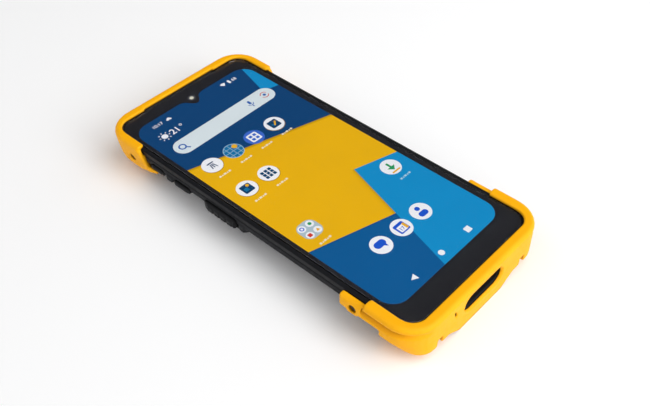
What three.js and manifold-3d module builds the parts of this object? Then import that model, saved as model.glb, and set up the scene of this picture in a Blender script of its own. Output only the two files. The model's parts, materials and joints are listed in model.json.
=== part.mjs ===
// Rugged handheld data collector, in millimetres, +Z up through the screen.
// X runs across the screen, Y towards the earpiece end. While it is built, y = 0 is the middle
// of the screen; the last lines move the whole group so that y = 0 is the middle of the object.
import * as THREE from "three";
import { mergeVertices } from "three/addons/utils/BufferGeometryUtils.js";
import Module from "manifold-3d";

const wasm = await Module();
wasm.setup();

// ---------- driving dimensions ----------
const screenWidth = 67; // lit area
const screenLength = 145.2;
const screenCornerRadius = 7.5;
const sideBorder = 2.5; // dark border of the glass beside the lit area
const chinBorder = 10.4; // the same below it
const foreheadBorder = 6.4; // the same above it
const rimWidth = 1.8; // frame round the glass
const bodyOverhang = 0.2; // widest line of the body outside the rim
const bottomBumperWidth = 3.1; // bottom bumper outside the body, at the sides
const topBumperWidth = 2;
const bottomBumperLength = 3.3; // bottom bumper beyond the rim, at the end
const topBumperLength = 2.8;
const displayHeight = 17; // resting face to the picture
const glassThickness = 0.9;
const lipRise = 2; // lip above the picture
const wall = 1.6; // housing wall
const floorPlate = 1.2; // plate of the middle frame under the display
const fitGap = 0.15; // clearance of pieces that are fitted to each other
const keyTravel = 0.4;
const keyGap = 0.2; // clearance round a key

// ---------- heights ----------
const lipTop = displayHeight + lipRise;
const glassZ = displayHeight - 0.2;
const glassTopZ = glassZ + glassThickness;
const sealThickness = 0.3;
const glassLedgeZ = glassZ - sealThickness - 0.1;
const panelThickness = 1.5;
const panelZ = glassZ - 0.1 - panelThickness;
const frameFloorTop = panelZ - 0.1;
const frameFloorZ = frameFloorTop - floorPlate;
const rimTop = displayHeight + 0.2;
const partingZ = displayHeight - 2; // middle of the groove round the body
const rimZ = partingZ + 0.2;
const housingTop = partingZ - 0.2;
const bodyBottom = 2.3; // flat back of the body
const padBottom = 0.4; // raised spine of the back
const cavityBottom = bodyBottom + wall + 0.1;
const boardThickness = 1;
const boardZ = 9.1;
const boardTop = boardZ + boardThickness;
const portZ = boardTop + 0.9; // middle of the connector opening
const keyZ = boardTop + 1.6; // middle of the small keys
const smallKeyHeight = 2.4;

// ---------- plan sizes that follow ----------
const glassGap = 0.3;
const glassHalfWidth = screenWidth / 2 + sideBorder;
const glassBottom = screenLength / 2 + chinBorder;
const glassTop = screenLength / 2 + foreheadBorder;
const rimHalfWidth = glassHalfWidth + glassGap + rimWidth;
const rimBottom = glassBottom + glassGap + rimWidth;
const rimTopEnd = glassTop + glassGap + rimWidth;
const bodyHalfWidth = rimHalfWidth + bodyOverhang; // widest line of the black body
const bottomBumperHalfWidth = bodyHalfWidth + bottomBumperWidth;
const topBumperHalfWidth = bodyHalfWidth + topBumperWidth;
const bottomEnd = rimBottom + bottomBumperLength; // middle of the screen to the end of the object
const topEnd = rimTopEnd + topBumperLength;
const lipReach = 1.7; // lip over the rim
const lipHalfWidth = rimHalfWidth - lipReach;
const seatHalfWidth = bodyHalfWidth - 1.3; // body inside the bumpers
const bumperFloor = 1.8; // bumper under the back of the body
const bumperBottomZ = 3.8;
const seatBottom = bumperBottomZ + bumperFloor + fitGap;
// The sides of the body lean in towards its back, so the room inside has three steps.
const deepInset = 6.7; // outside of the body at each step, in from its widest line
const midInset = 4.3;
const upperInset = 2.7;
const midCavityZ = 7.4;
const upperCavityZ = 9.3;
const deepCavityHalfWidth = bodyHalfWidth - deepInset - wall;
const midCavityHalfWidth = bodyHalfWidth - midInset - wall;
const cavityHalfWidth = bodyHalfWidth - upperInset - wall;
const planArcSteps = 8; // facets in a quarter turn of a plan corner
const arcSteps = 2; // half the facets in a quarter turn of a small outline
const sweepSteps = 8; // facets along a swept edge

// ---------- solids ----------
function solidFrom(geometry) {
  const plain = geometry.clone();
  plain.deleteAttribute("normal");
  plain.deleteAttribute("uv");
  const merged = mergeVertices(plain, 1e-4);
  const vertProperties = merged.attributes.position.array;
  const triVerts = new Uint32Array(merged.index.array);
  return new wasm.Manifold(new wasm.Mesh({ numProp: 3, vertProperties, triVerts }));
}

function geometryFrom(solid) {
  const data = solid.getMesh();
  const geometry = new THREE.BufferGeometry();
  geometry.setAttribute("position", new THREE.BufferAttribute(data.vertProperties, 3));
  geometry.setIndex(new THREE.BufferAttribute(data.triVerts, 1));
  geometry.computeVertexNormals();
  return geometry;
}

const join = (solids) => solids.reduce((sum, next) => sum.add(next));

function box(x0, x1, y0, y1, z0, z1) {
  const geometry = new THREE.BoxGeometry(x1 - x0, y1 - y0, z1 - z0);
  return solidFrom(geometry.translate((x0 + x1) / 2, (y0 + y1) / 2, (z0 + z1) / 2));
}

// A flat outline raised from z0 to z1.
function slab(shape, z0, z1, steps = arcSteps) {
  const options = { depth: z1 - z0, bevelEnabled: false, curveSegments: steps };
  return solidFrom(new THREE.ExtrudeGeometry(shape, options).translate(0, 0, z0));
}

// An outline of (y, z) points carried along X.
function alongX(shape, x0, x1, steps = arcSteps) {
  const turn = new THREE.Matrix4().makeBasis(
    new THREE.Vector3(0, 1, 0),
    new THREE.Vector3(0, 0, 1),
    new THREE.Vector3(1, 0, 0),
  );
  const options = { depth: x1 - x0, bevelEnabled: false, curveSegments: steps };
  return solidFrom(new THREE.ExtrudeGeometry(shape, options).applyMatrix4(turn).translate(x0, 0, 0));
}

// An outline of (x, z) points carried along Y.
function alongY(shape, y0, y1) {
  const turn = new THREE.Matrix4().makeBasis(
    new THREE.Vector3(1, 0, 0),
    new THREE.Vector3(0, 0, 1),
    new THREE.Vector3(0, -1, 0),
  );
  const options = { depth: y1 - y0, bevelEnabled: false, curveSegments: arcSteps };
  return solidFrom(new THREE.ExtrudeGeometry(shape, options).applyMatrix4(turn).translate(0, y1, 0));
}

function cylinder(radius, from, to, sides = 20) {
  const direction = new THREE.Vector3().subVectors(to, from);
  const geometry = new THREE.CylinderGeometry(radius, radius, direction.length(), sides);
  const up = new THREE.Vector3(0, 1, 0);
  geometry.applyQuaternion(new THREE.Quaternion().setFromUnitVectors(up, direction.clone().normalize()));
  const middle = new THREE.Vector3().addVectors(from, to).multiplyScalar(0.5);
  return solidFrom(geometry.translate(middle.x, middle.y, middle.z));
}

const upright = (radius, x, y, z0, z1, sides) =>
  cylinder(radius, new THREE.Vector3(x, y, z0), new THREE.Vector3(x, y, z1), sides);

const lengthways = (radius, x0, x1, y, z, sides) =>
  cylinder(radius, new THREE.Vector3(x0, y, z), new THREE.Vector3(x1, y, z), sides);

function polygon(points) {
  return new THREE.Shape(points.map(([a, b]) => new THREE.Vector2(a, b)));
}

// A rectangle with round corners between two corners.
function roundedRectangle(x0, y0, x1, y1, r) {
  const shape = new THREE.Shape();
  const quarter = Math.PI / 2;
  shape.absarc(x1 - r, y0 + r, r, -quarter, 0);
  shape.absarc(x1 - r, y1 - r, r, 0, quarter);
  shape.absarc(x0 + r, y1 - r, r, quarter, 2 * quarter);
  shape.absarc(x0 + r, y0 + r, r, 2 * quarter, 3 * quarter);
  shape.closePath();
  return shape;
}

// The plan of the whole object at one level: its ends have different corner radii.
function planPoints({ half, bottom, top, bottomRadius, topRadius }) {
  const points = [];
  const corner = (x, y, r, start) => {
    for (let i = 0; i <= planArcSteps; i++) {
      const angle = start + (i / planArcSteps) * (Math.PI / 2);
      points.push(new THREE.Vector2(x + r * Math.cos(angle), y + r * Math.sin(angle)));
    }
  };
  corner(half - bottomRadius, -bottom + bottomRadius, bottomRadius, -Math.PI / 2);
  corner(half - topRadius, top - topRadius, topRadius, 0);
  corner(-half + topRadius, top - topRadius, topRadius, Math.PI / 2);
  corner(-half + bottomRadius, -bottom + bottomRadius, bottomRadius, Math.PI);
  return points;
}

const planSlab = (plan, z0, z1) => slab(new THREE.Shape(planPoints(plan)), z0, z1);

// Plans of equal point counts at rising levels, skinned into one solid.
function loft(levels) {
  const positions = [];
  const index = [];
  const rings = levels.map(({ z, plan }) => planPoints(plan).map((p) => [p.x, p.y, z]));
  const count = rings[0].length;
  rings.forEach((ring) => ring.forEach((point) => positions.push(...point)));
  for (let level = 0; level + 1 < rings.length; level++) {
    for (let i = 0; i < count; i++) {
      const next = (i + 1) % count;
      const low = level * count;
      const high = low + count;
      index.push(low + i, low + next, high + next, low + i, high + next, high + i);
    }
  }
  const lastRing = (rings.length - 1) * count;
  const lowMiddle = positions.length / 3;
  positions.push(0, 0, levels[0].z, 0, 0, levels.at(-1).z);
  for (let i = 0; i < count; i++) {
    const next = (i + 1) % count;
    index.push(lowMiddle, next, i, lowMiddle + 1, lastRing + i, lastRing + next);
  }
  const geometry = new THREE.BufferGeometry();
  geometry.setAttribute("position", new THREE.Float32BufferAttribute(positions, 3));
  geometry.setIndex(index);
  return solidFrom(geometry);
}

// ---------- the tree ----------
const device = new THREE.Group();

function finish(color, roughness, metalness = 0) {
  return { color, roughness, metalness };
}

const finishes = {
  bumper: finish(0xfcb504, 0.5),
  housing: finish(0x26272b, 0.6),
  frame: finish(0x1d1e22, 0.45),
  rubber: finish(0x101114, 0.8),
  glass: finish(0x202125, 0.05),
  display: finish(0x0a4173, 0.2),
  lens: finish(0x5a5a5e, 0.1),
  steel: finish(0x9a9da2, 0.35, 0.9),
  board: finish(0x14532f, 0.6),
  shield: finish(0xb9bcc0, 0.3, 0.9),
  battery: finish(0x3a3d42, 0.5),
  copper: finish(0xb5703c, 0.35, 0.9),
  ceramic: finish(0xd8d2c4, 0.7),
  polyimide: finish(0xb06a1c, 0.5),
};

function addPiece(name, solid, look) {
  const mesh = new THREE.Mesh(geometryFrom(solid), new THREE.MeshStandardMaterial(finishes[look]));
  mesh.name = name;
  device.add(mesh);
}

// ---------- plans used by more than one piece ----------
const glassPlan = {
  half: glassHalfWidth,
  bottom: glassBottom,
  top: glassTop,
  bottomRadius: 7,
  topRadius: 6,
};

// A plan grown outwards, or inwards when the distance is negative.
function grown(plan, distance) {
  return {
    half: plan.half + distance,
    bottom: plan.bottom + distance,
    top: plan.top + distance,
    bottomRadius: plan.bottomRadius + distance,
    topRadius: plan.topRadius + distance,
  };
}

const pocketPlan = grown(glassPlan, glassGap);
const rimPlan = grown(pocketPlan, rimWidth);
const seatPlan = {
  half: seatHalfWidth,
  bottom: rimBottom,
  top: rimTopEnd,
  bottomRadius: rimPlan.bottomRadius,
  topRadius: rimPlan.topRadius,
};
const lipPlan = {
  half: lipHalfWidth,
  bottom: glassBottom + 0.7,
  top: glassTop - 0.2 + 0.7,
  bottomRadius: 6.5,
  topRadius: 6.5,
};
const cavityPlan = {
  half: cavityHalfWidth,
  bottom: rimBottom - wall - 1.2,
  top: rimTopEnd - wall,
  bottomRadius: 5,
  topRadius: 5,
};

// ---------- display stack ----------
const notchHalfWidth = 6.5;
const notchDepth = 5.1;
const frontCameraY = screenLength / 2 - 1;
const frontCameraRadius = 2;

// The lit area: round corners, and a round-shouldered notch for the front camera.
function screenOutline(grow) {
  const half = screenWidth / 2 + grow;
  const end = screenLength / 2 + grow;
  const r = screenCornerRadius + grow;
  const shape = new THREE.Shape();
  shape.absarc(half - r, -end + r, r, -Math.PI / 2, 0);
  shape.absarc(half - r, end - r, r, 0, Math.PI / 2);
  shape.lineTo(notchHalfWidth + 1, end);
  shape.quadraticCurveTo(notchHalfWidth - 1.5, end, notchHalfWidth - 3, end - 1.7);
  shape.quadraticCurveTo(0, end - notchDepth - 3.4, -notchHalfWidth + 3, end - 1.7);
  shape.quadraticCurveTo(-notchHalfWidth + 1.5, end, -notchHalfWidth - 1, end);
  shape.absarc(-half + r, end - r, r, Math.PI / 2, Math.PI);
  shape.absarc(-half + r, -end + r, r, Math.PI, 1.5 * Math.PI);
  shape.closePath();
  return shape;
}

const panelMargin = 0.4; // panel outside the lit area

function buildDisplay() {
  addPiece("cover_glass", planSlab(glassPlan, glassZ, glassTopZ), "glass");
  const sealWidth = 1.1;
  const seal = planSlab(glassPlan, glassLedgeZ + 0.05, glassLedgeZ + 0.05 + sealThickness);
  const sealHole = planSlab(grown(glassPlan, -sealWidth), glassLedgeZ - 1, glassZ + 1);
  addPiece("glass_seal", seal.subtract(sealHole), "rubber");
  addPiece("display_panel", slab(screenOutline(panelMargin), panelZ, panelZ + panelThickness, 4), "display");
  const cameraTop = glassZ - 0.1;
  addPiece(
    "front_camera",
    upright(frontCameraRadius, 0, frontCameraY, panelZ, cameraTop, 24),
    "lens",
  );
}

// ---------- middle frame ----------
const screwRadius = 0.85;
const bossRadius = 1.9;
const screwX = deepCavityHalfWidth - bossRadius - 0.7;
const bossSplitZ = boardZ;
const earpieceHalfLength = 19.5;
const earpieceDepth = 0.9;
const earpieceY0 = glassTop + glassGap;

// ---------- boards and battery: their places ----------
const boardHalfWidth = cavityHalfWidth - 2.2;
const subBoardLength = 28.6;
const trayHalfWidth = 6.2;
const trayY = topEnd - 41.9;
const readerWall = 0.5;
const readerHalfWidth = trayHalfWidth + 0.2 + readerWall;
const mainBoardY1 = rimTopEnd - wall - 1.5;
const mainBoardY0 = trayY - readerHalfWidth - 0.1;
const subBoardY0 = -rimBottom + wall + 2.9;
const subBoardY1 = subBoardY0 + subBoardLength;
const batteryHalfWidth = screwX - bossRadius - 0.5;
const batteryY0 = subBoardY1 + 2.5;
const batteryY1 = mainBoardY0 - 1;
const screwRows = [mainBoardY0 - bossRadius - 0.6, (batteryY0 + batteryY1) / 2 + 1.25, batteryY0 + 3.5];

function forEachHousingScrew(make) {
  const made = [];
  for (const side of [-1, 1]) for (const y of screwRows) made.push(make(side * screwX, y));
  return made;
}

function buildMiddleFrame() {
  const ledgeWidth = 1.3;
  const rim = planSlab(rimPlan, rimZ, rimTop);
  const tongueHalf = cavityHalfWidth - fitGap;
  const tonguePlan = { ...grown(cavityPlan, -fitGap), half: tongueHalf };
  const tongue = planSlab(tonguePlan, frameFloorZ, rimZ + 0.1);
  const bosses = forEachHousingScrew((x, y) => upright(bossRadius, x, y, bossSplitZ, frameFloorZ + 0.1, 16));
  const pocket = planSlab(pocketPlan, glassLedgeZ, rimTop + 1);
  const panelPocket = planSlab(grown(glassPlan, -ledgeWidth), frameFloorTop, rimTop + 1);
  const screwHoles = forEachHousingScrew((x, y) =>
    upright(screwRadius + 0.1, x, y, bossSplitZ - 1, frameFloorZ + 0.3, 12),
  );
  const earpieceSlot = box(
    -earpieceHalfLength - fitGap,
    earpieceHalfLength + fitGap,
    earpieceY0 - 1,
    earpieceY0 + earpieceDepth + fitGap,
    glassLedgeZ,
    rimTop + 1,
  );
  let frame = join([rim, tongue, ...bosses]);
  frame = frame.subtract(join([pocket, panelPocket, earpieceSlot, ...screwHoles]));
  addPiece("middle_frame", frame, "frame");
  addPiece("earpiece_mesh", earpieceMesh(), "steel");

  const gasketPlan = grown(rimPlan, -0.5);
  const gasket = planSlab(gasketPlan, housingTop + 0.05, rimZ - 0.05);
  const gasketHole = planSlab(grown(gasketPlan, -1), housingTop - 1, rimZ + 1);
  addPiece("housing_gasket", gasket.subtract(gasketHole), "rubber");
}

// A bar with a row of slots through it, behind the gap at the end of the glass.
function earpieceMesh() {
  const zTop = rimTop - 0.1;
  const slotCount = 12;
  const pitch = 2.2;
  const bar = box(
    -earpieceHalfLength,
    earpieceHalfLength,
    earpieceY0,
    earpieceY0 + earpieceDepth,
    glassLedgeZ + 0.05,
    zTop,
  );
  const slots = [];
  for (let i = 0; i < slotCount; i++) {
    const x = (i - (slotCount - 1) / 2) * pitch;
    slots.push(box(x - 0.7, x + 0.7, earpieceY0 + 0.25, earpieceY0 + 0.65, glassLedgeZ - 1, zTop + 1));
  }
  return bar.subtract(join(slots));
}

// ---------- bumper outlines ----------
const bottomCornerRadius = 13;
const topCornerRadius = 13;
const ledgeTop = partingZ + 1.9; // ledge of the bottom bumper beside the screen
const ledgeStart = bottomEnd - 35.9; // its free end, from the middle of the screen
const lipStartBottom = bottomEnd - 24.4;
const lipStartTop = topEnd - 23.2;
const wrapStart = bottomEnd - 16.4; // the bottom bumper wraps under the back from here
const armTip = topEnd - 32.4; // free end of the top bumper's side tongue
const tongueTop = keyZ - smallKeyHeight / 2 - 0.4; // upper edge of that tongue, under the top key
const topWrapStart = topEnd - 17.9;
const armUnderside = partingZ - 3; // underside of the bottom bumper's side arms
const bottomScrewY = -bottomEnd + 29.1;
const topScrewY = topEnd - 17.4;
const bossHalfLength = 2.8; // the arms are deeper round their screws
const bossDrop = 1;
const footHalfWidth = 13.5;
const footRampHalfWidth = 20;
const footInset = 0.1; // foot behind the end wall

// Outer skins of the bumpers as level lines: height, inset of the sides, inset of the end, and
// what is added to the corner radius. Both finish in the same rounded lip.
const lipLevels = [
  [lipTop - 1.6, 0, 0, 0],
  [lipTop - 0.9, 0.2, 0.2, -0.2],
  [lipTop - 0.35, 0.6, 0.65, -0.6],
  [lipTop, 1.3, 1.4, -1.3],
];
const bottomLevels = [
  [bumperBottomZ, 4.6, 0.2, -6],
  [bumperBottomZ + 1, 3.7, 0.05, -4.8],
  [6.6, 2.3, 0, -3],
  [8.3, 1, 0, -1.3],
  [10, 0.05, 0, 0],
  ...lipLevels,
];
const topLevels = [
  [bumperBottomZ, 3.2, 1, -0.5],
  [5.5, 2.1, 0.7, -0.5],
  [7.6, 1.5, 0.5, -0.4],
  [10, 1.1, 0.3, -0.2],
  [13, 0.5, 0.1, 0],
  ...lipLevels,
];

function bumperPlan(half, sideInset, endInset, radiusChange = 0) {
  return {
    half: half - sideInset,
    bottom: bottomEnd - endInset,
    top: topEnd - endInset,
    bottomRadius: bottomCornerRadius + radiusChange,
    topRadius: topCornerRadius + radiusChange,
  };
}

// The foot: a raised spine down the middle of the back, with a ramp on each side.
function spine(y0, y1, zLow, zHigh) {
  const ramp = (footRampHalfWidth - footHalfWidth) / bumperBottomZ;
  const halfAt = (z) => footHalfWidth + ramp * z;
  return alongY(
    polygon([
      [-halfAt(zLow), zLow],
      [halfAt(zLow), zLow],
      [halfAt(zHigh), zHigh],
      [-halfAt(zHigh), zHigh],
    ]),
    y0,
    y1,
  );
}

function bumperSkin(half, levels) {
  return loft(levels.map(([z, ...insets]) => ({ z, plan: bumperPlan(half, ...insets) })));
}

// The hollow that the body fills: body, wider middle frame, and the window inside the lip.
function bumperHollow() {
  const body = seatLoft(fitGap);
  const frameStep = planSlab(grown(rimPlan, fitGap), housingTop - 0.1, rimTop + fitGap);
  const window = planSlab(lipPlan, rimTop - 0.5, lipTop + 1);
  return join([body, frameStep, window]);
}

function seatLoft(grow) {
  const roundStart = seatBottom + 2.2;
  const narrow = { ...grown(seatPlan, grow), half: seatPlan.half + grow - 2.4 };
  const full = grown(seatPlan, grow);
  return loft([
    { z: seatBottom - grow, plan: narrow },
    { z: roundStart, plan: full },
    { z: housingTop + grow, plan: full },
  ]);
}

const farOut = bottomBumperHalfWidth + 20; // beyond the object on every side
const pastEnd = bottomEnd + 12;

// Side view of what belongs to the bottom bumper, as (y, z).
function bottomZone() {
  const nose = 1.2;
  const shape = new THREE.Shape();
  shape.moveTo(-pastEnd, -1);
  shape.lineTo(-wrapStart + 2, -1);
  shape.lineTo(-wrapStart, armUnderside);
  shape.lineTo(-ledgeStart - 1, armUnderside);
  shape.quadraticCurveTo(-ledgeStart, armUnderside, -ledgeStart, armUnderside + 1);
  shape.lineTo(-ledgeStart, ledgeTop - nose);
  shape.quadraticCurveTo(-ledgeStart, ledgeTop, -ledgeStart - nose, ledgeTop);
  shape.lineTo(-pastEnd, ledgeTop);
  shape.closePath();
  const lip = lipZone(-1, lipStartBottom, bottomBumperHalfWidth);
  const screwBoss = roundedRectangle(
    bottomScrewY - bossHalfLength,
    armUnderside - bossDrop,
    bottomScrewY + bossHalfLength,
    ledgeTop - 1,
    1.2,
  );
  return join([alongX(shape, -farOut, farOut, sweepSteps), alongX(screwBoss, -farOut, farOut), lip]);
}

// Side view of what belongs to the top bumper: a lip, then a tongue that sweeps down the side.
function topZone() {
  const shape = new THREE.Shape();
  shape.moveTo(pastEnd, -1);
  shape.lineTo(pastEnd, ledgeTop);
  shape.lineTo(lipStartTop - 0.4, ledgeTop);
  shape.quadraticCurveTo(lipStartTop - 3.4, tongueTop + 0.6, armTip + 5.5, tongueTop);
  shape.lineTo(armTip + 0.6, tongueTop - 0.2);
  shape.quadraticCurveTo(armTip, tongueTop - 0.9, armTip + 0.6, tongueTop - 1.7);
  shape.quadraticCurveTo(topWrapStart - 1, tongueTop - 3, topWrapStart, -1);
  shape.closePath();
  const lip = lipZone(1, lipStartTop, topBumperHalfWidth);
  return alongX(shape, -farOut, farOut, sweepSteps).add(lip);
}

// Plan of a lip's two side arms, with round ends, joined across the end of the object.
function lipZone(end, start, half) {
  const r = 1.9;
  const outer = half + 0.2;
  const inner = lipHalfWidth - 0.5;
  const arms = [-1, 1].map((side) => {
    const x0 = Math.min(side * inner, side * outer);
    const x1 = Math.max(side * inner, side * outer);
    const y0 = Math.min(end * start, end * pastEnd);
    const y1 = Math.max(end * start, end * pastEnd);
    return slab(roundedRectangle(x0, y0, x1, y1, r), ledgeTop - 0.01, lipTop + 1);
  });
  const across = start + 12;
  const y0 = Math.min(end * across, end * pastEnd);
  const y1 = Math.max(end * across, end * pastEnd);
  return join([...arms, box(-farOut, farOut, y0, y1, ledgeTop - 0.01, lipTop + 1)]);
}

// The side tongues of the top bumper get thinner towards their tips.
function tongueTaper() {
  const tipHalf = bodyHalfWidth - 0.6;
  const wide = topBumperHalfWidth + 1;
  const fullAt = lipStartTop + 1;
  return slab(
    polygon([
      [-tipHalf, armTip - 1],
      [tipHalf, armTip - 1],
      [topBumperHalfWidth, fullAt],
      [wide, fullAt + 4],
      [wide, pastEnd],
      [-wide, pastEnd],
      [-wide, fullAt + 4],
      [-topBumperHalfWidth, fullAt],
    ]),
    -1,
    lipTop + 1,
  );
}

// ---------- connector opening, screws, slots ----------
const portHalfWidth = 11.6;
const portHalfHeight = 4;
const portRadius = 3.6;
const portPocketDepth = 1.5;
const portCollarWall = 0.9; // collar of the housing that reaches into the opening
const portCollarY = -bottomEnd + 1.4;
const bumperScrewHeadRadius = 1.6;
const bumperScrewShankRadius = 0.9;
const bumperScrewHeadThickness = 1;
const topScrewZ = tongueTop + 0.4;
const bottomScrewZ = armUnderside + 1.5;
const topScrew = { y: topScrewY, z: topScrewZ, outer: topBumperHalfWidth - 1, sink: 1 };
const bottomScrew = { y: bottomScrewY, z: bottomScrewZ, outer: bottomBumperHalfWidth, sink: 1.2 };
const bumperScrews = [
  { name: "top_left", side: -1, ...topScrew },
  { name: "top_right", side: 1, ...topScrew },
  { name: "bottom_left", side: -1, ...bottomScrew },
  { name: "bottom_right", side: 1, ...bottomScrew },
];
const bumperScrewEndX = bodyHalfWidth - 3.1;

function portOpening(grow, y0, y1) {
  const half = portHalfWidth + grow;
  const height = portHalfHeight + grow;
  const outline = roundedRectangle(-half, portZ - height, half, portZ + height, portRadius + grow);
  return alongY(outline, y0, y1);
}

function bumperScrewCut({ side, y, z, outer, sink }) {
  const shoulder = outer - sink - bumperScrewHeadThickness;
  const from = (x0, x1, r) => lengthways(r, side * x0, side * x1, y, z, 20);
  const head = from(shoulder, outer + 2, bumperScrewHeadRadius + fitGap);
  return head.add(from(bumperScrewEndX - 0.3, shoulder + 0.1, bumperScrewShankRadius + 0.1));
}

// The long slot under the lip of the bottom bumper. Its lower face slopes outwards, and it fades
// out round each corner.
function sideSlots() {
  const slotTop = ledgeTop - 0.3;
  const slotHeight = 1.6; // where it is deepest
  const slopeHeight = 2;
  const slotDepth = 2.3;
  const slotBottom = slotTop - slotHeight - slopeHeight;
  const outside = planSlab(grown(bumperPlan(bottomBumperHalfWidth, 0, 0), 4), slotBottom, slotTop);
  const keptPlan = (inset) => ({
    ...bumperPlan(bottomBumperHalfWidth, inset, -0.4),
    bottomRadius: bottomCornerRadius - 1,
  });
  const kept = loft([
    { z: slotBottom - 1, plan: keptPlan(-0.6) },
    { z: slotBottom, plan: keptPlan(-0.1) },
    { z: slotTop - slotHeight, plan: keptPlan(slotDepth) },
    { z: slotTop + 1, plan: keptPlan(slotDepth) },
  ]);
  const reach = box(-farOut, farOut, -pastEnd, -lipStartBottom + 1, slotBottom - 1, slotTop + 1);
  return outside.subtract(kept).intersect(reach);
}

// The round on the outer corner of each ledge's free end.
function ledgeNoses() {
  const r = 2;
  return join([-1, 1].map((side) => {
    const inner = side * (bottomBumperHalfWidth - r);
    const outer = side * (bottomBumperHalfWidth + 1);
    const y = -ledgeStart - r;
    const corner = box(Math.min(inner, outer), Math.max(inner, outer), y, -ledgeStart + 1, -1, lipTop);
    return corner.subtract(upright(r, inner, y, -2, lipTop + 1, 24));
  }));
}

// The round along the outer edge of the ledges, ahead of the lip.
function ledgeRounds() {
  const r = 2;
  const y0 = -lipStartBottom + 0.3;
  const y1 = -ledgeStart + 1;
  return join([-1, 1].map((side) => {
    const inner = side * (bottomBumperHalfWidth - r);
    const outer = side * (bottomBumperHalfWidth + 1);
    const z = ledgeTop - r;
    const corner = box(Math.min(inner, outer), Math.max(inner, outer), y0, y1, z, ledgeTop + 1);
    const from = new THREE.Vector3(inner, y0 - 1, z);
    const to = new THREE.Vector3(inner, y1 + 1, z);
    return corner.subtract(cylinder(r, from, to, 24));
  }));
}

// Square notches through the lower edge of each end wall, beside the foot.
function edgeNotches(end) {
  const notchOut = bodyHalfWidth - 10.5;
  const notchIn = notchOut - 3;
  const notchTop = 7.6;
  const endY = end < 0 ? -bottomEnd : topEnd;
  const inner = endY - end * 3;
  const y0 = Math.min(inner, endY + end * 2);
  const y1 = Math.max(inner, endY + end * 2);
  return join([-1, 1].map((side) => {
    const x0 = Math.min(side * notchIn, side * notchOut);
    return box(x0, x0 + notchOut - notchIn, y0, y1, -1, notchTop);
  }));
}

const micX = -18;
const micZ = partingZ - 2;

function micSlit() {
  const lean = 0.5;
  const outline = polygon([
    [micX - 0.5 + lean, micZ - 1.7],
    [micX + 0.5 + lean, micZ - 1.7],
    [micX + 0.5 - lean, micZ + 1.7],
    [micX - 0.5 - lean, micZ + 1.7],
  ]);
  return alongY(outline, -bottomEnd - 1, -rimBottom + wall + 3);
}

function buildBottomBumper() {
  const foot = spine(-bottomEnd, -wrapStart + 3, 0, seatBottom);
  const footPlan = planSlab(bumperPlan(bottomBumperHalfWidth, 0, footInset), -1, lipTop);
  const openingChamfer = 1;
  let bumper = bumperSkin(bottomBumperHalfWidth, bottomLevels).add(foot.intersect(footPlan));
  bumper = bumper.intersect(bottomZone());
  bumper = bumper.subtract(join([ledgeRounds(), ledgeNoses(), bumperHollow()]));
  bumper = bumper.subtract(portOpening(0, -bottomEnd - 2, -rimBottom + 2));
  bumper = bumper.subtract(portOpening(portCollarWall + fitGap, portCollarY - fitGap, -rimBottom + 2));
  bumper = bumper.subtract(portFlare(openingChamfer));
  bumper = bumper.subtract(join([sideSlots(), edgeNotches(-1), micSlit()]));
  bumper = bumper.subtract(join(bumperScrews.filter(({ y }) => y < 0).map(bumperScrewCut)));
  addPiece("bottom_bumper", bumper, "bumper");
}

// The lead-in round the connector opening: a square cone that narrows into the wall.
function portFlare(chamfer) {
  const steps = 3;
  const flares = [];
  for (let i = 0; i < steps; i++) {
    const depth = ((i + 1) / steps) * chamfer;
    const grow = chamfer - (i / steps) * chamfer;
    flares.push(portOpening(grow * 0.8, -bottomEnd - 1, -bottomEnd + depth));
  }
  return join(flares);
}

function buildTopBumper() {
  const foot = spine(topWrapStart - 2, topEnd, 0, seatBottom);
  const footPlan = planSlab(bumperPlan(topBumperHalfWidth, 0, footInset), -1, lipTop);
  const earpieceRelief = box(
    -earpieceHalfLength - 1,
    earpieceHalfLength + 1,
    glassTop - 1,
    lipPlan.top + 0.7,
    rimTop + fitGap,
    lipTop + 1,
  );
  let bumper = bumperSkin(topBumperHalfWidth, topLevels).add(foot.intersect(footPlan));
  bumper = bumper.intersect(topZone());
  bumper = bumper.intersect(tongueTaper());
  bumper = bumper.subtract(join([bumperHollow(), earpieceRelief, edgeNotches(1)]));
  bumper = bumper.subtract(join(bumperScrews.filter(({ y }) => y > 0).map(bumperScrewCut)));
  addPiece("top_bumper", bumper, "bumper");
}

function buildBumperScrews() {
  for (const { name, side, y, z, outer, sink } of bumperScrews) {
    const headOuter = outer - sink;
    const shoulder = headOuter - bumperScrewHeadThickness + 0.1;
    const head = lengthways(bumperScrewHeadRadius, side * shoulder, side * headOuter, y, z, 20);
    const shankEnd = shoulder + 0.2;
    const shank = lengthways(bumperScrewShankRadius, side * bumperScrewEndX, side * shankEnd, y, z, 12);
    const socket = lengthways(0.8, side * (headOuter - 0.6), side * (headOuter + 1), y, z, 6);
    addPiece(`bumper_screw_${name}`, head.add(shank).subtract(socket), "steel");
  }
}

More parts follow.
